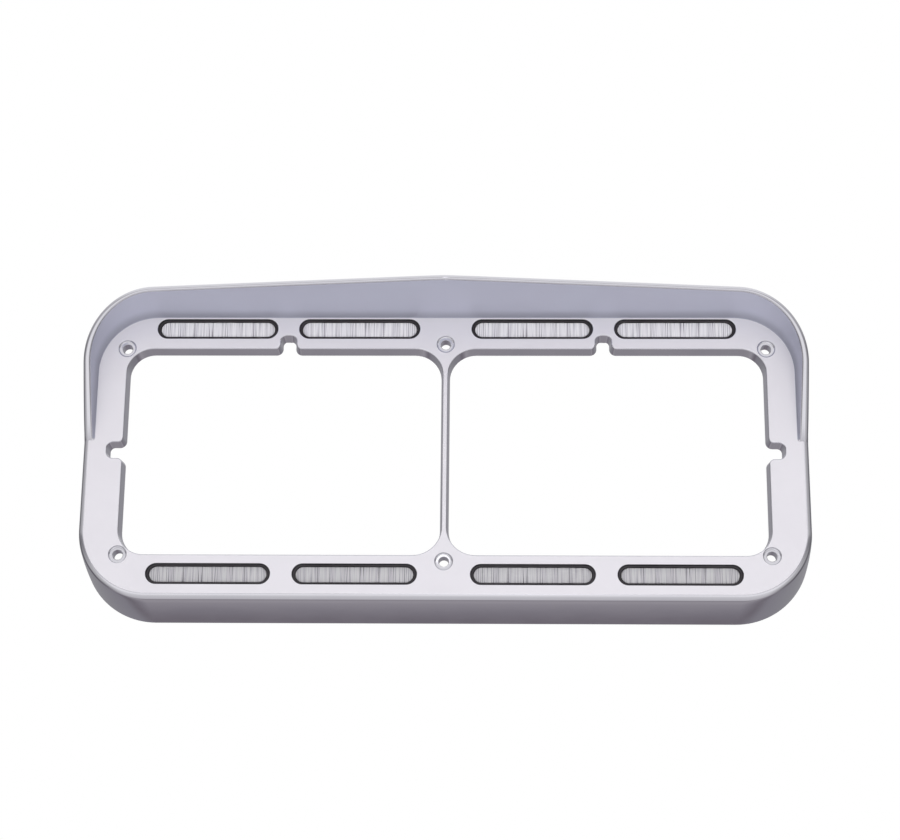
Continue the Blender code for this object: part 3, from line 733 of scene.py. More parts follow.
def make_floor():
    """A pale floor far below, which the chrome doesn't mirror."""
    material, tree, shader = surface("pale_floor", Specular_IOR_Level=0.2)
    cloud = noise(tree, scale=2.0, detail=3.0)
    tone = [(0.3, (0.80, 0.80, 0.81)), (0.7, (0.84, 0.84, 0.85))]
    tree.links.new(ramp(tree, cloud, tone), shader["Base Color"])
    tree.links.new(spread(tree, cloud, 0.6, 0.75), shader["Roughness"])
    level = casting_low.z - FLOOR_DROP
    half = FLOOR_HALF
    corners = [(-half, -half), (half, -half), (half, half), (-half, half)]
    mesh = bpy.data.meshes.new("floor")
    mesh.from_pydata([Vector((x, y, level)) * MM for x, y in corners], [], [(0, 1, 2, 3)])
    mesh.materials.append(material)
    floor = bpy.data.objects.new("floor", mesh)
    bpy.context.scene.collection.objects.link(floor)
    floor.visible_glossy = False


def make_stage():
    """Everything that isn't the object."""
    make_camera()
    make_world()
    for light in LIGHTS:
        make_light(*light)
    make_floor()
    bpy.context.scene.view_settings.view_transform = "Standard"


# The casting.


def visor_depth(x, z):
    """How far the visor's edge stands forward of the face at a point of the outline."""
    if z <= VISOR_FOOT_Z:
        return 0.0
    run = math.hypot(x, VISOR_POINT_SOFTNESS) - VISOR_POINT_SOFTNESS
    height = (z - VISOR_FOOT_Z) / (HALF_HEIGHT - VISOR_FOOT_Z)
    return (VISOR_TIP - VISOR_SLOPE * run) * height**VISOR_TAPER


def flare_at(y):
    """How far the skirt stands outside the face's outline at a depth."""
    return FLARE * max(y - FACE_Y, 0.0) / SKIRT_DEPTH


def bent(corner, first, last, reach, steps):
    """Points round a corner from the side of one neighbour to the side of the other, tangent to both."""
    corner, first, last = Vector(corner), Vector(first), Vector(last)
    start = corner + (first - corner).normalized() * reach
    end = corner + (last - corner).normalized() * reach
    found = []
    for i in range(steps + 1):
        t = i / steps
        found.append(tuple(start * (1 - t) ** 2 + corner * 2 * t * (1 - t) + end * t**2))
    return found


def wall_profile(depth):
    """The wall's section as (offset, y, finish) rows: pocket, rim, outside, front edge, underside."""
    full = smooth(depth / VISOR_FULL_AT)
    front = FACE_Y - depth
    outer_r = mix(EDGE_R, RIM_R, full)
    lip = mix(FACE_LIP, VISOR_RIM, full)
    drop = min(RIM_R, depth / 2)
    outside = flare_at(front + outer_r)
    pocket = (flare_at(PLATE_BACK_Y) - WALL, PLATE_BACK_Y)
    inner_rim, outer_rim = (FLARE - WALL, SKIRT_BACK_Y), (FLARE, SKIRT_BACK_Y)
    crease = (-VISOR_INSET, FACE_Y)
    rows = [(*p, CAST) for p in bent(pocket, (pocket[0] - WALL, PLATE_BACK_Y), inner_rim, POCKET_R, 4)]
    rows += [(*p, CAST) for p in bent(inner_rim, pocket, outer_rim, REAR_RIM_R, 3)]
    rows += [(*p, CHROME) for p in bent(outer_rim, inner_rim, (outer_rim[0], SEAT_Y), REAR_RIM_R, 3)]
    for i in range(1, SKIRT_STEPS):
        share = 1 - i / SKIRT_STEPS
        crown = SKIRT_CROWN * 4 * share * (1 - share)
        rows.append((FLARE * share + crown, FACE_Y + SKIRT_DEPTH * share, CHROME))
    for i in range(2 * EDGE_STEPS + 1):
        turn = math.pi / 4 * i / EDGE_STEPS
        offset = outside * (1 - i / 2 / EDGE_STEPS) - outer_r * (1 - math.cos(turn))
        rows.append((offset, front + outer_r * (1 - math.sin(turn)), CHROME))
    for i in range(EDGE_STEPS + 1):
        turn = math.pi / 2 * i / EDGE_STEPS
        rows.append((RIM_R * (1 - math.sin(turn)) - lip, front + drop * (1 - math.cos(turn)), CHROME))
    rim_end = rows[-1][:2]
    rows[-1] = (*rim_end, SATIN)
    creases = bent(crease, rim_end, (crease[0] - 1, FACE_Y), CREASE_R, 5)
    rows += [(*p, SATIN) for p in creases[:-1]]
    rows.append((*creases[-1], CHROME))
    return rows


def wall_stations():
    """Points round the outline with their outward directions, closer together where the visor starts."""
    run_x, run_z = HALF_WIDTH - CORNER_R, HALF_HEIGHT - CORNER_R
    right = []
    for i in range(ARC_STEPS + 1):
        angle = math.radians(90 * i / ARC_STEPS - 90)
        right.append((run_x, -run_z, math.cos(angle), math.sin(angle)))
    for i in range(VISOR_STEPS):
        rise = (run_z - VISOR_FOOT_Z) * (i / VISOR_STEPS) ** 2
        right.append((run_x, VISOR_FOOT_Z + rise, 1.0, 0.0))
    for i in range(ARC_STEPS + 1):
        angle = math.radians(90 * i / ARC_STEPS)
        right.append((run_x, run_z, math.cos(angle), math.sin(angle)))
    for i in range(1, TOP_STEPS + 1):
        right.append((run_x * (1 - i / TOP_STEPS) ** 2, run_z, 0.0, 1.0))
    left = [(-x, z, -nx, nz) for x, z, nx, nz in reversed(right[:-1])]
    return right + left


def wall_mesh():
    """The plate, skirt and visor in one: the wall's section carried round the outline."""
    stations = wall_stations()
    depths = [visor_depth(x + nx * CORNER_R, z + nz * CORNER_R) for x, z, nx, nz in stations]
    profiles = [wall_profile(depth) for depth in depths]
    rings = []
    for row in range(len(profiles[0])):
        ring = []
        for (x, z, nx, nz), profile in zip(stations, profiles):
            offset, y, _ = profile[row]
            ring.append((x + nx * (CORNER_R + offset), y, z + nz * (CORNER_R + offset)))
        rings.append(ring)

    def finish_at(band, i):
        finish = profiles[i][band][2]
        return CHROME if finish == SATIN and min(depths[i - 1], depths[i]) < SATIN_FROM else finish

    return loft(rings, finish_at=finish_at, caps=(CAST, CHROME))


def opening_outline(grow):
    """The right headlamp opening, with its two notches for the lamp's aiming screws."""
    x0, x1 = OPENING_X
    half, top = OPENING_HALF_HEIGHT, NOTCH_TOP_X
    return rounded(
        [
            (x0, -half, DIVIDER_R),
            (x1, -half, OPENING_BOTTOM_R),
            (x1, -NOTCH_SIDE_HALF, NOTCH_MOUTH_R),
            (NOTCH_SIDE_X, -NOTCH_SIDE_HALF, NOTCH_END_R),
            (NOTCH_SIDE_X, NOTCH_SIDE_HALF, NOTCH_END_R),
            (x1, NOTCH_SIDE_HALF, NOTCH_MOUTH_R),
            (x1, half, OPENING_TOP_R),
            (top + NOTCH_TOP_HALF, half, NOTCH_MOUTH_R),
            (top + NOTCH_TOP_HALF, NOTCH_TOP_Z, NOTCH_END_R),
            (top - NOTCH_TOP_HALF, NOTCH_TOP_Z, NOTCH_END_R),
            (top - NOTCH_TOP_HALF, half, NOTCH_MOUTH_R),
            (x0, half, DIVIDER_R),
        ],
        grow,
    )


def mouth_rows(radius, slope=0.0):
    """(grow, y) rows of a cutter through the plate: a rounded front edge, then walls that close in."""
    rows = [(radius, FORWARD)]
    for i in range(EDGE_STEPS + 1):
        turn = math.pi / 2 * i / EDGE_STEPS
        rows.append((radius * (1 - math.sin(turn)), FACE_Y + radius * (1 - math.cos(turn))))
    rows.append((-slope * (BACKWARD - FACE_Y), BACKWARD))
    return rows


def opening_cutter(mirror):
    """The cutter of one headlamp opening, mirrored for the left one."""
    rings = []
    for grow, y in mouth_rows(OPENING_EDGE_R, OPENING_DRAFT / FACE_DEPTH):
        outline = opening_outline(grow)
        rings.append(ring_at(mirrored(outline) if mirror else outline, y))
    return loft(rings, caps=(CHROME, CHROME))


def flange_outline(grow):
    """Both openings with their notches, a wall's thickness further out."""
    half_x = OPENING_X[1] + FLANGE_WALL
    half_z = OPENING_HALF_HEIGHT + FLANGE_WALL
    notch_x, notch_z = NOTCH_SIDE_X + NOTCH_WALL, NOTCH_TOP_Z + NOTCH_WALL
    side, top = NOTCH_SIDE_HALF + NOTCH_WALL, NOTCH_TOP_HALF + NOTCH_WALL
    inner_r, end_r = NOTCH_FOOT_R, NOTCH_END_R + NOTCH_WALL
    right = [
        (half_x, -half_z, OPENING_BOTTOM_R + FLANGE_WALL),
        (half_x, -side, inner_r),
        (notch_x, -side, end_r),
        (notch_x, side, end_r),
        (half_x, side, inner_r),
        (half_x, half_z, OPENING_TOP_R + FLANGE_WALL),
        (NOTCH_TOP_X + top, half_z, inner_r),
        (NOTCH_TOP_X + top, notch_z, end_r),
        (NOTCH_TOP_X - top, notch_z, end_r),
        (NOTCH_TOP_X - top, half_z, inner_r),
    ]
    left = [(-x, z, r) for x, z, r in reversed(right)]
    return rounded(right + left, grow)


def boss(place, radius, top):
    """A cast boss with a fillet at its foot and a rounded rim."""
    foot = PLATE_BACK_Y
    wide, middle = radius + BOSS_FILLET, radius + BOSS_FILLET_MIDDLE
    profile = [(wide, foot - OVERLAP), (wide, foot)]
    profile += [(middle, foot + BOSS_FILLET_MIDDLE), (radius, foot + BOSS_FILLET)]
    profile += [(radius + grow, y) for grow, y in back_round(top, BOSS_EDGE_R, 3)]
    return turned(profile, place, finish=CAST)


def screw_holes():
    """(x, z) of each hole for the screws that hold the bezel to the truck, from the record's seats."""
    seats = [m["pos_m"] for m in frame["record"]["mounts"] if m["name"].startswith("screw_seat")]
    return [(x / MM - SEAT_POINT_X, z / MM) for x, _, z in seats]


def small_bosses():
    """(x, z, top, screw seat) of each boss that takes a small screw, from the screws' own places."""
    held = [box_mm(f"lamp_housing_{label}")[0].y + EAR_FRONT for label in LAMPS]
    held += [box_mm(f"lamp_clip_{label}")[0].y for label in CLIPS]
    held += [box_mm("lead_socket")[0].y] * 2
    found = []
    for name, top in zip(SMALL_SCREWS, held):
        low, high = box_mm(name)
        found.append(((low.x + high.x) / 2, (low.z + high.z) / 2, top - GAP, low.y))
    return found


def make_casting(materials):
    """The one casting, cut through for the headlamps, the lamps' slots and the screws."""
    flange_rows = [(0.0, PLATE_BACK_Y - OVERLAP), *back_round(SEAT_Y, FLANGE_RIM_R, 3)]
    added = [prism(flange_outline, flange_rows, CAST)]
    added += [boss(place, HOLE_BOSS_R, SEAT_Y) for place in screw_holes()]
    added += [boss((x, z), SMALL_BOSS_R, top) for x, z, top, _ in small_bosses()]
    removed = [opening_cutter(False), opening_cutter(True)]
    for label in LAMPS:
        place = centre_mm(f"lens_{label}")
        slot = [(SLOT[0] + grow, SLOT[1] + grow, y) for grow, y in mouth_rows(SLOT_EDGE_R)]
        rings = [ring_at(obround(a, b, (place.x, place.z)), y) for a, b, y in slot]
        removed.append(loft(rings, caps=(CHROME, CHROME)))
    floor = FACE_Y + COUNTERBORE_DEPTH
    bore = [(COUNTERBORE_R + grow, y) for grow, y in mouth_rows(HOLE_EDGE_R)[:-2]]
    bore += bent((COUNTERBORE_R, floor), (COUNTERBORE_R, FACE_Y), (HOLE_R, floor), COUNTERBORE_DISH, 5)
    bore += [(HOLE_R + HOLE_CHAMFER, floor), (HOLE_R, floor + HOLE_CHAMFER), (HOLE_R, BACKWARD)]
    removed += [turned(bore, place, finish=CHROME) for place in screw_holes()]
    for x, z, top, point in small_bosses():
        wide = PILOT_R + PILOT_FLARE
        pilot = [(PILOT_R, point), (PILOT_R, top - 0.3), (wide, top + 0.2), (wide, top + OVERLAP)]
        removed.append(turned(pilot, (x, z), SMALL_STEPS, CAST))
    finishes = [materials[name] for name in ("chrome", "satin", "cast", "face")]
    mesh = combined(wall_mesh(), added, removed, finishes)
    for polygon in mesh.polygons:
        faces_front = polygon.normal.y < -FACING
        if faces_front and abs(polygon.center.y - FACE_Y * MM) < FACE_TOLERANCE * MM:
            polygon.material_index = FACE
    casting = piece("chrome_casting", mesh, None, "chrome", "bezel_casting", sharp=28)
    weighted = casting.modifiers.new("even_shading", "WEIGHTED_NORMAL")
    weighted.mode = "FACE_AREA"
    weighted.weight = 90
    weighted.keep_sharp = True


# Marker lamps.


def lens_mesh():
    """A clear bar on a thin flange, smooth in front and fluted behind."""
    low, high = box_mm("lens_top_1")
    size = high - low
    flange = (size.x / 2, size.z / 2)
    flange_front = high.y - LENS_FLANGE
    flange_r, end_margin, side_margin, skin = 0.15, 1.2, 0.5, 0.02
    rows = [(LENS_BODY[0] + grow, LENS_BODY[1] + grow, y) for grow, y in front_round(low.y, LENS_EDGE_R)]
    rows += [(*LENS_BODY, flange_front)]
    edges = front_round(flange_front, flange_r, 2) + back_round(high.y, flange_r, 2)
    rows += [(flange[0] + grow, flange[1] + grow, y) for grow, y in edges]
    body = loft([ring_at(obround(a, b), y) for a, b, y in rows])
    count = int(2 * (LENS_BODY[0] - end_margin) / FLUTE_PITCH)
    steps = 8
    waves = []
    for i in range(count * steps + 1):
        x = (i / steps - count / 2) * FLUTE_PITCH
        waves.append((x, high.y - FLUTE_DEPTH * abs(math.sin(math.pi * i / steps)) - skin))
    comb = [(waves[0][0], high.y + OVERLAP), *waves, (waves[-1][0], high.y + OVERLAP)]
    tall = LENS_BODY[1] - side_margin
    flutes = loft([[(x, y, z) for x, y in comb] for z in (-tall, tall)])
    return combined(body, removed=[flutes])


def gasket_mesh():
    """A rubber ring: a soft lip round the lens, and a flange pinched behind the face plate."""
    low, high = box_mm("gasket_top_1")
    outer = ((high.x - low.x) / 2, (high.z - low.z) / 2)
    lip = [size - GASKET_SLOT_GAP for size in SLOT]
    hole = [size + GASKET_LENS_GAP for size in LENS_BODY]
    rows = [(lip[0] + grow, lip[1] + grow, y) for grow, y in front_round(low.y, GASKET_LIP_R, 4)]
    rows += [(*lip, GASKET_SHOULDER_Y), (*outer, GASKET_SHOULDER_Y), (*outer, high.y), (*hole, high.y)]
    inner = [(hole[0] - grow, hole[1] - grow, y) for grow, y in front_round(low.y, GASKET_LIP_R, 4)]
    rows += reversed(inner)
    return loft([ring_at(obround(a, b), y) for a, b, y in rows], closed=True)


def housing_mesh(materials):
    """A cup for the lens and board, potted behind, with a gusseted screw ear at one end."""
    low, high = box_mm("lamp_housing_top_1")
    place = centre_mm("lens_top_1")
    screw = centre_mm("lamp_screw_top_1")
    module = (high.z - low.z) / 2
    length = high.x - place.x if screw.x < place.x else place.x - low.x
    outer = (length, module)
    mouth = [size - HOUSING_WALL for size in outer]
    pocket = [size - HOUSING_LEDGE for size in mouth]
    ledge, floor = low.y + LEDGE_DEPTH, high.y - FLOOR_THICK
    potting_inset, potting_slope, potting_sink = 1.3, 0.15, 0.6
    sunk = [size - potting_inset for size in outer]
    rows = [(*pocket, floor), (*pocket, ledge), (*mouth, ledge), (*mouth, low.y)]
    rows += [(outer[0] + grow, outer[1] + grow, y) for grow, y in front_round(low.y, 0.2, 2)]
    rows += [(outer[0] + grow, outer[1] + grow, y) for grow, y in back_round(high.y, 0.5, 4)]
    rows += [(*sunk, high.y), (sunk[0] - potting_slope, sunk[1] - potting_slope, high.y - potting_sink)]
    body = loft([ring_at(obround(a, b), y) for a, b, y in rows], caps=(0, 1))
    ear_x = abs(screw.x - place.x)
    ear_back = screw_seat("lamp_screw_top_1") - GAP
    ear_front = ear_back - EAR_THICK
    ear_length, ear_r, ear_edge_r = 6.0, 3.0, 0.25
    ear_rows = front_round(ear_front, ear_edge_r, 2) + back_round(ear_back, ear_edge_r, 2)
    ear = prism(lambda grow: obround(ear_length + grow, ear_r + grow, (ear_x - ear_r, 0.0)), ear_rows)
    rib_x, rib_half = (outer[0] - 1.0, outer[0] + 1.4), 0.5
    rib = prism(lambda grow: rectangle(rib_x, (-rib_half, rib_half), 0.3, grow),
                [(0.0, ear_back - 0.3), (0.0, ear_back + 0.6)])
    collar_profile = [(2.3, floor + 0.4), (2.3, high.y - 0.55), (2.0, high.y - 0.15), (1.7, high.y - 0.05)]
    collar = turned(collar_profile, steps=SMALL_STEPS)
    wire_r = 1.3
    hole = turned([(wire_r, floor - OVERLAP), (wire_r, high.y + OVERLAP)], steps=SMALL_STEPS)
    ear_cut = [(PILOT_R, ear_front - OVERLAP), (PILOT_R, ear_back + OVERLAP)]
    ear_hole = turned(ear_cut, (ear_x, 0.0), SMALL_STEPS)
    inside = prism(lambda grow: obround(pocket[0], pocket[1]), [(0.0, ledge - GAP), (0.0, floor)])
    finishes = [materials["housing"], materials["resin"]]
    return combined(body, [ear, rib, collar], [hole, ear_hole, inside], finishes)


def screw_seat(name):
    """Where the underside of a small screw's head lies, in front of the rear end of its box."""
    return box_mm(name)[1].y - SCREW_HEAD


def board_mesh(materials):
    """The board, its seven light emitters with raised frames and resin, and their small resistors."""
    low, high = box_mm("led_board_top_1")
    half = ((high.x - low.x) / 2, (high.z - low.z) / 2)
    front = low.y + LED_SIZE[1]
    board = prism(lambda grow: obround(half[0] + grow, half[1] + grow), [(0.0, front), (0.0, high.y)])
    width, tall, height = LED_SIZE
    frame_r, frame_edge_r, well_inset, well_foot, well_depth = 0.3, 0.12, 0.45, 0.75, 0.35
    chip_half, chip_height = (0.8, 0.4), 0.5
    shapes = [board]
    for i in range(LED_COUNT):
        x = (i - (LED_COUNT - 1) / 2) * LED_PITCH
        sides, ends = (x - width / 2, x + width / 2), (-height / 2, height / 2)
        outline = lambda grow, sides=sides, ends=ends: rectangle(sides, ends, frame_r, grow, 3)
        rows = [(0.0, front), *reversed(front_round(low.y, frame_edge_r, 2))]
        rows += [(-well_inset, low.y), (-well_foot, low.y + well_depth)]
        shapes.append(prism(outline, rows))
        dome = [(1.05, front - tall + well_depth)]
        dome += [(1.0, low.y + 0.22), (0.75, low.y + 0.10), (0.35, low.y + 0.04)]
        shapes.append(turned(dome, (x, 0.0), DOME_STEPS, finish=1))
        if i < LED_COUNT - 1:
            gap_x = x + LED_PITCH / 2
            sides, ends = (gap_x - chip_half[0], gap_x + chip_half[0]), (-chip_half[1], chip_half[1])
            chip = lambda grow, sides=sides, ends=ends: rectangle(sides, ends, 0.08, grow, 2)
            rows = [(0.0, front), (0.0, front - 0.45), (-0.08, front - chip_height)]
            shapes.append(prism(chip, rows, finish=2))
    mesh = joined(shapes)
    for name in ("board", "emitter", "resin"):
        mesh.materials.append(materials[name])
    return mesh


def screw_mesh():
    """A small pan-head screw with a cross recess; its head's underside is at y = 0."""
    head_r, shank_r, pitch, turns, rim = 2.3, 1.05, 0.8, 7, 0.12
    head = SCREW_HEAD
    profile = [(0.4, head), (head_r * 0.55, head * 0.99), (head_r * 0.8, head * 0.9)]
    profile += [(head_r * 0.94, head * 0.7), (head_r, head * 0.42)]
    profile += [(head_r, rim), (head_r - rim, 0.0), (shank_r, 0.0)]
    for i in range(turns):
        y = -0.5 - i * pitch
        profile += [(shank_r * 0.78, y), (shank_r, y - pitch * 0.42), (shank_r, y - pitch * 0.52)]
    profile += [(0.75, 1.0 - SCREW_GRIP), (0.15, -SCREW_GRIP)]
    body = turned(profile, steps=28)
    sides, ends, arm_r = (-1.3, 1.3), (-0.27, 0.27), 0.15
    arm_rows = [(0.08, head + OVERLAP), (0.0, head - 0.2), (-0.1, head - 0.85)]
    for turn in (0.0, math.pi / 2):
        arm = prism(lambda grow: rectangle(sides, ends, arm_r, grow, 2), arm_rows)
        arm.transform(Matrix.Rotation(turn, 4, "Y"))
        body = combined(body, removed=[arm])
    return body


def clip_mesh():
    """A pressed steel strip with a rounded edge, a dished screw hole and a bead towards each end."""
    low, high = box_mm("lamp_clip_top_left")
    half = ((high.x - low.x) / 2, (high.z - low.z) / 2)
    rows = front_round(low.y, 0.2, 3) + back_round(high.y, 0.25, 3)
    strip = prism(lambda grow: obround(half[0] + grow, half[1] + grow), rows)
    dish = 0.35
    profile = [(PILOT_R, low.y - OVERLAP), (PILOT_R, high.y - 0.3)]
    profile += [(PILOT_R + dish, high.y), (PILOT_R + dish, high.y + OVERLAP)]
    hole = turned(profile, steps=SMALL_STEPS)
    bead_half, bead_x, bead_depth = (1.9, 0.8), 6.2, 0.35
    bead_rows = [(0.1, high.y + OVERLAP), (0.0, high.y), (-bead_depth, high.y - bead_depth)]
    grooves = []
    for x in (-bead_x, bead_x):
        bead = prism(lambda grow, x=x: obround(bead_half[0] + grow, bead_half[1] + grow, (x, 0.0)), bead_rows)
        grooves.append(bead)
    return combined(strip, removed=[hole, *grooves])


def make_lamps(materials):
    """Each lamp from lens to board, and then the screws and clips that hold them all."""
    lenses = {row: lens_mesh() for row in ("top", "bottom")}
    gasket, housing = gasket_mesh(), housing_mesh(materials)
    board, screw, clip = board_mesh(materials), screw_mesh(), clip_mesh()
    for label in LAMPS:
        place = centre_mm(f"lens_{label}")
        screw_x = centre_mm(f"lamp_screw_{label}").x
        turn = 0.0 if screw_x > place.x else math.pi
        at = (place.x, 0.0, place.z)
        row = label.split("_")[0]
        finish = materials[f"lens_{row}"]
        piece(f"fluted_lens_{label}", lenses[row], finish, "clear", f"lens_{label}", place=at, turn=turn)
        rubber = materials["rubber"]
        piece(f"lens_gasket_{label}", gasket, rubber, "rubber", f"gasket_{label}", place=at, turn=turn)
        piece(f"housing_{label}", housing, None, "housing", f"lamp_housing_{label}", place=at, turn=turn)
        piece(f"board_{label}", board, None, "board", f"led_board_{label}", place=at, turn=turn)
    for number, name in enumerate(SMALL_SCREWS):
        place = centre_mm(name)
        at = (place.x, screw_seat(name), place.z)
        piece(f"pan_{name}", screw, materials["steel"], "steel", name, place=at, turn=number * SCREW_TURN)
    for label in CLIPS:
        place = centre_mm(f"lamp_clip_{label}")
        at = (place.x, 0.0, place.z)
        piece(f"pressed_clip_{label}", clip, materials["steel"], "steel", f"lamp_clip_{label}", place=at)


# Wiring.

HARNESS_R = 2.0
RIB_PITCH = 2.4
RIB_HEIGHT = 0.32
HARNESS_Z = 72.2
HARNESS_END_X = 131.0
HARNESS_SIDE_X = 190.0
ROUTE_STEPS = 24
RIB_POINTS = 6  # points along each rib of the sleeve
TAPED_POINTS = 22
TAPE_SINK = 0.25
TAPE_CHAMFER = 0.5
WIRE_R = 0.42
WIRE_SPACING = 0.5
WIRE_ROUTE_STEPS = 8
WIRE_SIDES = 12
TAIL_KNEE = 2.8  # straight run of a lamp's wires before they bend to the trunk
TAIL_SHORT = (0.9, 0.8)  # how far short of the trunk's middle they end, in y and in z


def through(points, steps):
    """A smooth curve through the points, by the Catmull-Rom rule."""
    ends = [points[0] * 2 - points[1], *points, points[-1] * 2 - points[-2]]
    curve = []
    for a, b, c, d in zip(ends, ends[1:], ends[2:], ends[3:]):
        for i in range(steps):
            t = i / steps
            square, cube = 2 * a - 5 * b + 4 * c - d, 3 * b - a - 3 * c + d
            curve.append(0.5 * (2 * b + (c - a) * t + square * t**2 + cube * t**3))
    return [*curve, points[-1]]


def evenly(points, spacing):
    """Points the same distance apart along a path."""
    found, left = [points[0]], spacing
    for a, b in zip(points, points[1:]):
        run = (b - a).length
        while left <= run:
            found.append(a.lerp(b, left / run))
            left += spacing
        left -= run
    return found


def tube(points, radii, sides=14):
    """A closed tube along points, with a radius at each."""
    rings = []
    start = points[1] - points[0]
    across = Vector((0.0, 1.0, 0.0)) if abs(start.y) < abs(start.x) else Vector((1.0, 0.0, 0.0))
    for i, point in enumerate(points):
        ahead = (points[min(i + 1, len(points) - 1)] - points[max(i - 1, 0)]).normalized()
        across = (across - ahead * across.dot(ahead)).normalized()
        other = ahead.cross(across)
        turns = [2 * math.pi * j / sides for j in range(sides)]
        rings.append([point + radii[i] * (across * math.cos(t) + other * math.sin(t)) for t in turns])
    return loft(rings)


def wire(route):
    """A plain wire through a few points."""
    path = evenly(through([Vector(point) for point in route], WIRE_ROUTE_STEPS), WIRE_SPACING)
    return tube(path, [WIRE_R] * len(path), WIRE_SIDES)


def harness_route():
    """The trunk's own points: along the top row, down the right side, and back along the bottom row."""
    saddle = centre_mm("harness_saddle_top_right")
    y, z, side, saddle_x = saddle.y, HARNESS_Z, HARNESS_SIDE_X, saddle.x
    top = [(-HARNESS_END_X, z), (-saddle_x, z), (-60, z), (0, z), (60, z), (saddle_x, z), (HARNESS_END_X, z)]
    corner = [(151, z), (173.5, z + 1.8), (side - 4.2, z - 8.2), (side, z - 28)]
    route = top + corner + [(side, 0)] + [(x, -h) for x, h in reversed(corner)]
    route += [(x, -h) for x, h in reversed(top[4:])] + [(0, 2 - z)] + [(x, -h) for x, h in reversed(top[:3])]
    return [Vector((x, y, h)) for x, h in route]


def make_harness(materials):
    """A ribbed sleeve with taped ends, and a pair of wires to each lamp and to the inlet."""
    path = evenly(through(harness_route(), ROUTE_STEPS), RIB_PITCH / RIB_POINTS)
    radii = []
    for i in range(len(path)):
        wave = math.cos(2 * math.pi * i / RIB_POINTS)
        radii.append(HARNESS_R - RIB_HEIGHT * smooth(0.5 - 0.9 * wave))
    for i in range(TAPED_POINTS):
        radii[i] = radii[-1 - i] = HARNESS_R - TAPE_SINK - (TAPE_CHAMFER if i == 0 else 0.0)
    piece("ribbed_sleeve", tube(path, radii), materials["sleeve"], "sleeve", "wiring_harness", sharp=60)
    trunk_y = harness_route()[0].y
    wires = {"wire_red": [], "wire_black": []}
    for label in LAMPS:
        place = centre_mm(f"lens_{label}")
        back = box_mm(f"led_board_{label}")[1].y + GAP + 0.1
        knee = back + TAIL_KNEE
        entry_y, entry_z = trunk_y - TAIL_SHORT[0], math.copysign(HARNESS_Z - TAIL_SHORT[1], place.z)
        for name, side in (("wire_red", -1), ("wire_black", 1)):
            x = place.x + side * (WIRE_R + 0.02)
            route = [(x, back, place.z), (x, knee, place.z), (x, entry_y, entry_z)]
            wires[name].append(wire(route))
    inlet_top = box_mm("lead_socket")[1].z
    low_trunk = min(point.z for point in harness_route())
    for name, side in (("wire_red", -1), ("wire_black", 1)):
        x = side * (WIRE_R + 0.1)
        heights = (inlet_top + GAP, mix(inlet_top, low_trunk, 0.5) + 1.0, low_trunk + 2.5)
        wires[name].append(wire([(x, trunk_y, height) for height in heights]))
    for name, tubes in wires.items():
        piece(f"{name}_tails", joined(tubes), materials[name], "sleeve", "wiring_harness", sharp=60)


def saddle_mesh():
    """A stick-on base and a short post, with a ring that holds the sleeve and a snap gap through it."""
    low, high = box_mm("harness_saddle_top_right")
    middle = (low + high) / 2
    half = (high.x - low.x) / 2
    top = high.z
    base_y = (low.y, high.y)
    base_thick, ring_r, hole_r, ring_steps, past = 1.6, 3.55, HARNESS_R + 0.15, 36, 9.0

    def across(outline_at, rows):
        rings = [[(x, y, z) for y, z in outline_at(grow)] for grow, x in rows]
        return loft(rings)

    def rim(reach, radius):
        return front_round(-reach, radius, 3) + back_round(reach, radius, 3)

    def round_at(radius):
        centre = (middle.y, HARNESS_Z)
        return lambda grow: circle(radius + grow, centre, ring_steps)

    base = across(lambda grow: rectangle(base_y, (top - base_thick, top), 0.35, grow, 3), rim(half, 0.3))
    post_y, post_z = (middle.y - 1.2, middle.y + 1.2), (HARNESS_Z + 2.8, top - 0.8)
    post_rows = [(0.0, -half + GAP), (0.0, half - GAP)]
    post = across(lambda grow: rectangle(post_y, post_z, 0.2, grow, 2), post_rows)
    ring = across(round_at(ring_r), rim(half - GAP, 0.35))
    through_rows = [(0.0, -past), (0.0, past)]
    hole = across(round_at(hole_r), through_rows)
    gap_y, gap_z = (middle.y + 1.0, middle.y + past), (HARNESS_Z - 0.35, HARNESS_Z + 0.35)
    gap = across(lambda grow: rectangle(gap_y, gap_z, 0.1, grow, 2), through_rows)
    return combined(base, [post, ring], [hole, gap])


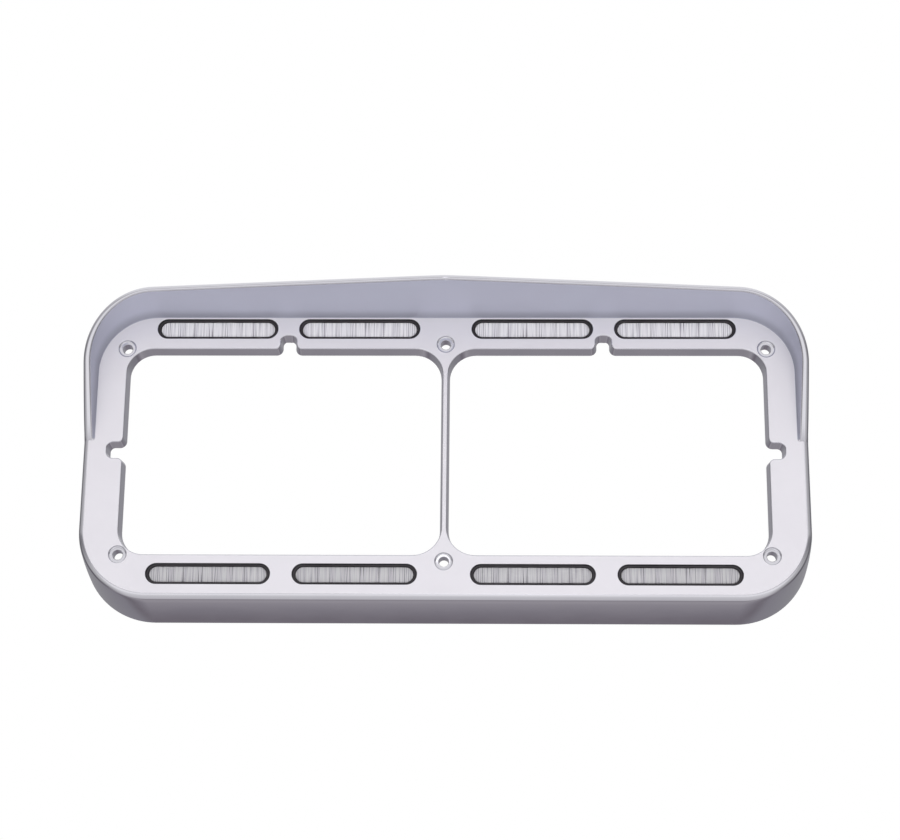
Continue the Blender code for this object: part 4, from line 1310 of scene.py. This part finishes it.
def socket_mesh(materials):
    """The two-pin inlet: a moulded shell with a latch window and side keys, and its pins."""
    low, high = box_mm("lead_socket")
    bottom, top, rear = low.z, high.z, high.y
    foot_x, body_x, wall = high.x, 7.5, 1.1
    foot_front, foot_back = low.y, low.y + 2.0
    floor = low.y + 4.9
    screws = [centre_mm(f"socket_screw_{side}") for side in ("left", "right")]
    foot = prism(lambda grow: rectangle((-foot_x, foot_x), (bottom, top - GAP), 1.2, grow, 5),
                 front_round(foot_front, 0.2, 2) + back_round(foot_back, 0.35, 3))
    shell = prism(lambda grow: rectangle((-body_x, body_x), (bottom, top), 0.9, grow, 5),
                  [(0.0, foot_front + 0.4), *back_round(rear, 0.25, 3)])
    collar_x = body_x + 0.35
    collar = prism(lambda grow: rectangle((-collar_x, collar_x), (bottom, top), 0.9, grow, 5),
                   [(-0.3, rear - 3.4), (0.0, rear - 3.1), (0.0, rear - 1.4), (-0.3, rear - 1.1)])
    mouth_x, mouth_z = (wall - body_x, body_x - wall), (bottom + wall, top - wall)
    mouth = prism(lambda grow: rectangle(mouth_x, mouth_z, 0.5, grow, 4),
                  [(0.0, floor), (0.0, rear - 0.4), (0.35, rear), (0.35, rear + OVERLAP)])
    latch_x, latch_z = (-2.0, 2.0), (top - wall - OVERLAP, top + OVERLAP)
    latch = prism(lambda grow: rectangle(latch_x, latch_z, 0.3, grow, 3),
                  [(0.0, rear - 7.0), (0.0, rear - 4.6)])
    keys = []
    key_z = (bottom + wall + 0.1, bottom + wall + 0.7)
    for x in (-4.9, 4.9):
        key_x = (x - 0.3, x + 0.3)
        keys.append(prism(lambda grow, key_x=key_x: rectangle(key_x, key_z, 0.1, grow, 2),
                          [(0.0, floor - OVERLAP), (0.0, rear - 1.5)]))
    screw_cut = [(PILOT_R, foot_front - OVERLAP), (PILOT_R, foot_back + OVERLAP)]
    holes = [turned(screw_cut, (screw.x, screw.z), SMALL_STEPS) for screw in screws]
    body = combined(foot, [shell, collar], [mouth, latch, *holes])
    body = combined(body, keys)
    pin = [(0.8, floor - OVERLAP), (0.8, rear - 2.9), (0.62, rear - 2.35), (0.3, rear - 2.0)]
    pins = [turned(pin, (x, (bottom + top) / 2), DOME_STEPS, finish=1) for x in (-3.2, 3.2)]
    mesh = joined([body, *pins])
    for name in ("nylon", "brass"):
        mesh.materials.append(materials[name])
    return mesh


def make_wiring(materials):
    """The harness, the saddles that hold it, and the inlet for the truck's lead."""
    make_harness(materials)
    saddle = saddle_mesh()
    for label in CLIPS:
        place = centre_mm(f"harness_saddle_{label}")
        turn = 0.0 if label.startswith("top") else math.pi
        piece(f"sleeve_saddle_{label}", saddle, materials["nylon"], "nylon", f"harness_saddle_{label}",
              place=(place.x, 0.0, 0.0), turn=turn)
    piece("two_pin_inlet", socket_mesh(materials), None, "nylon", "lead_socket")


make_stage()
palette = make_materials()
make_casting(palette)
make_lamps(palette)
make_wiring(palette)
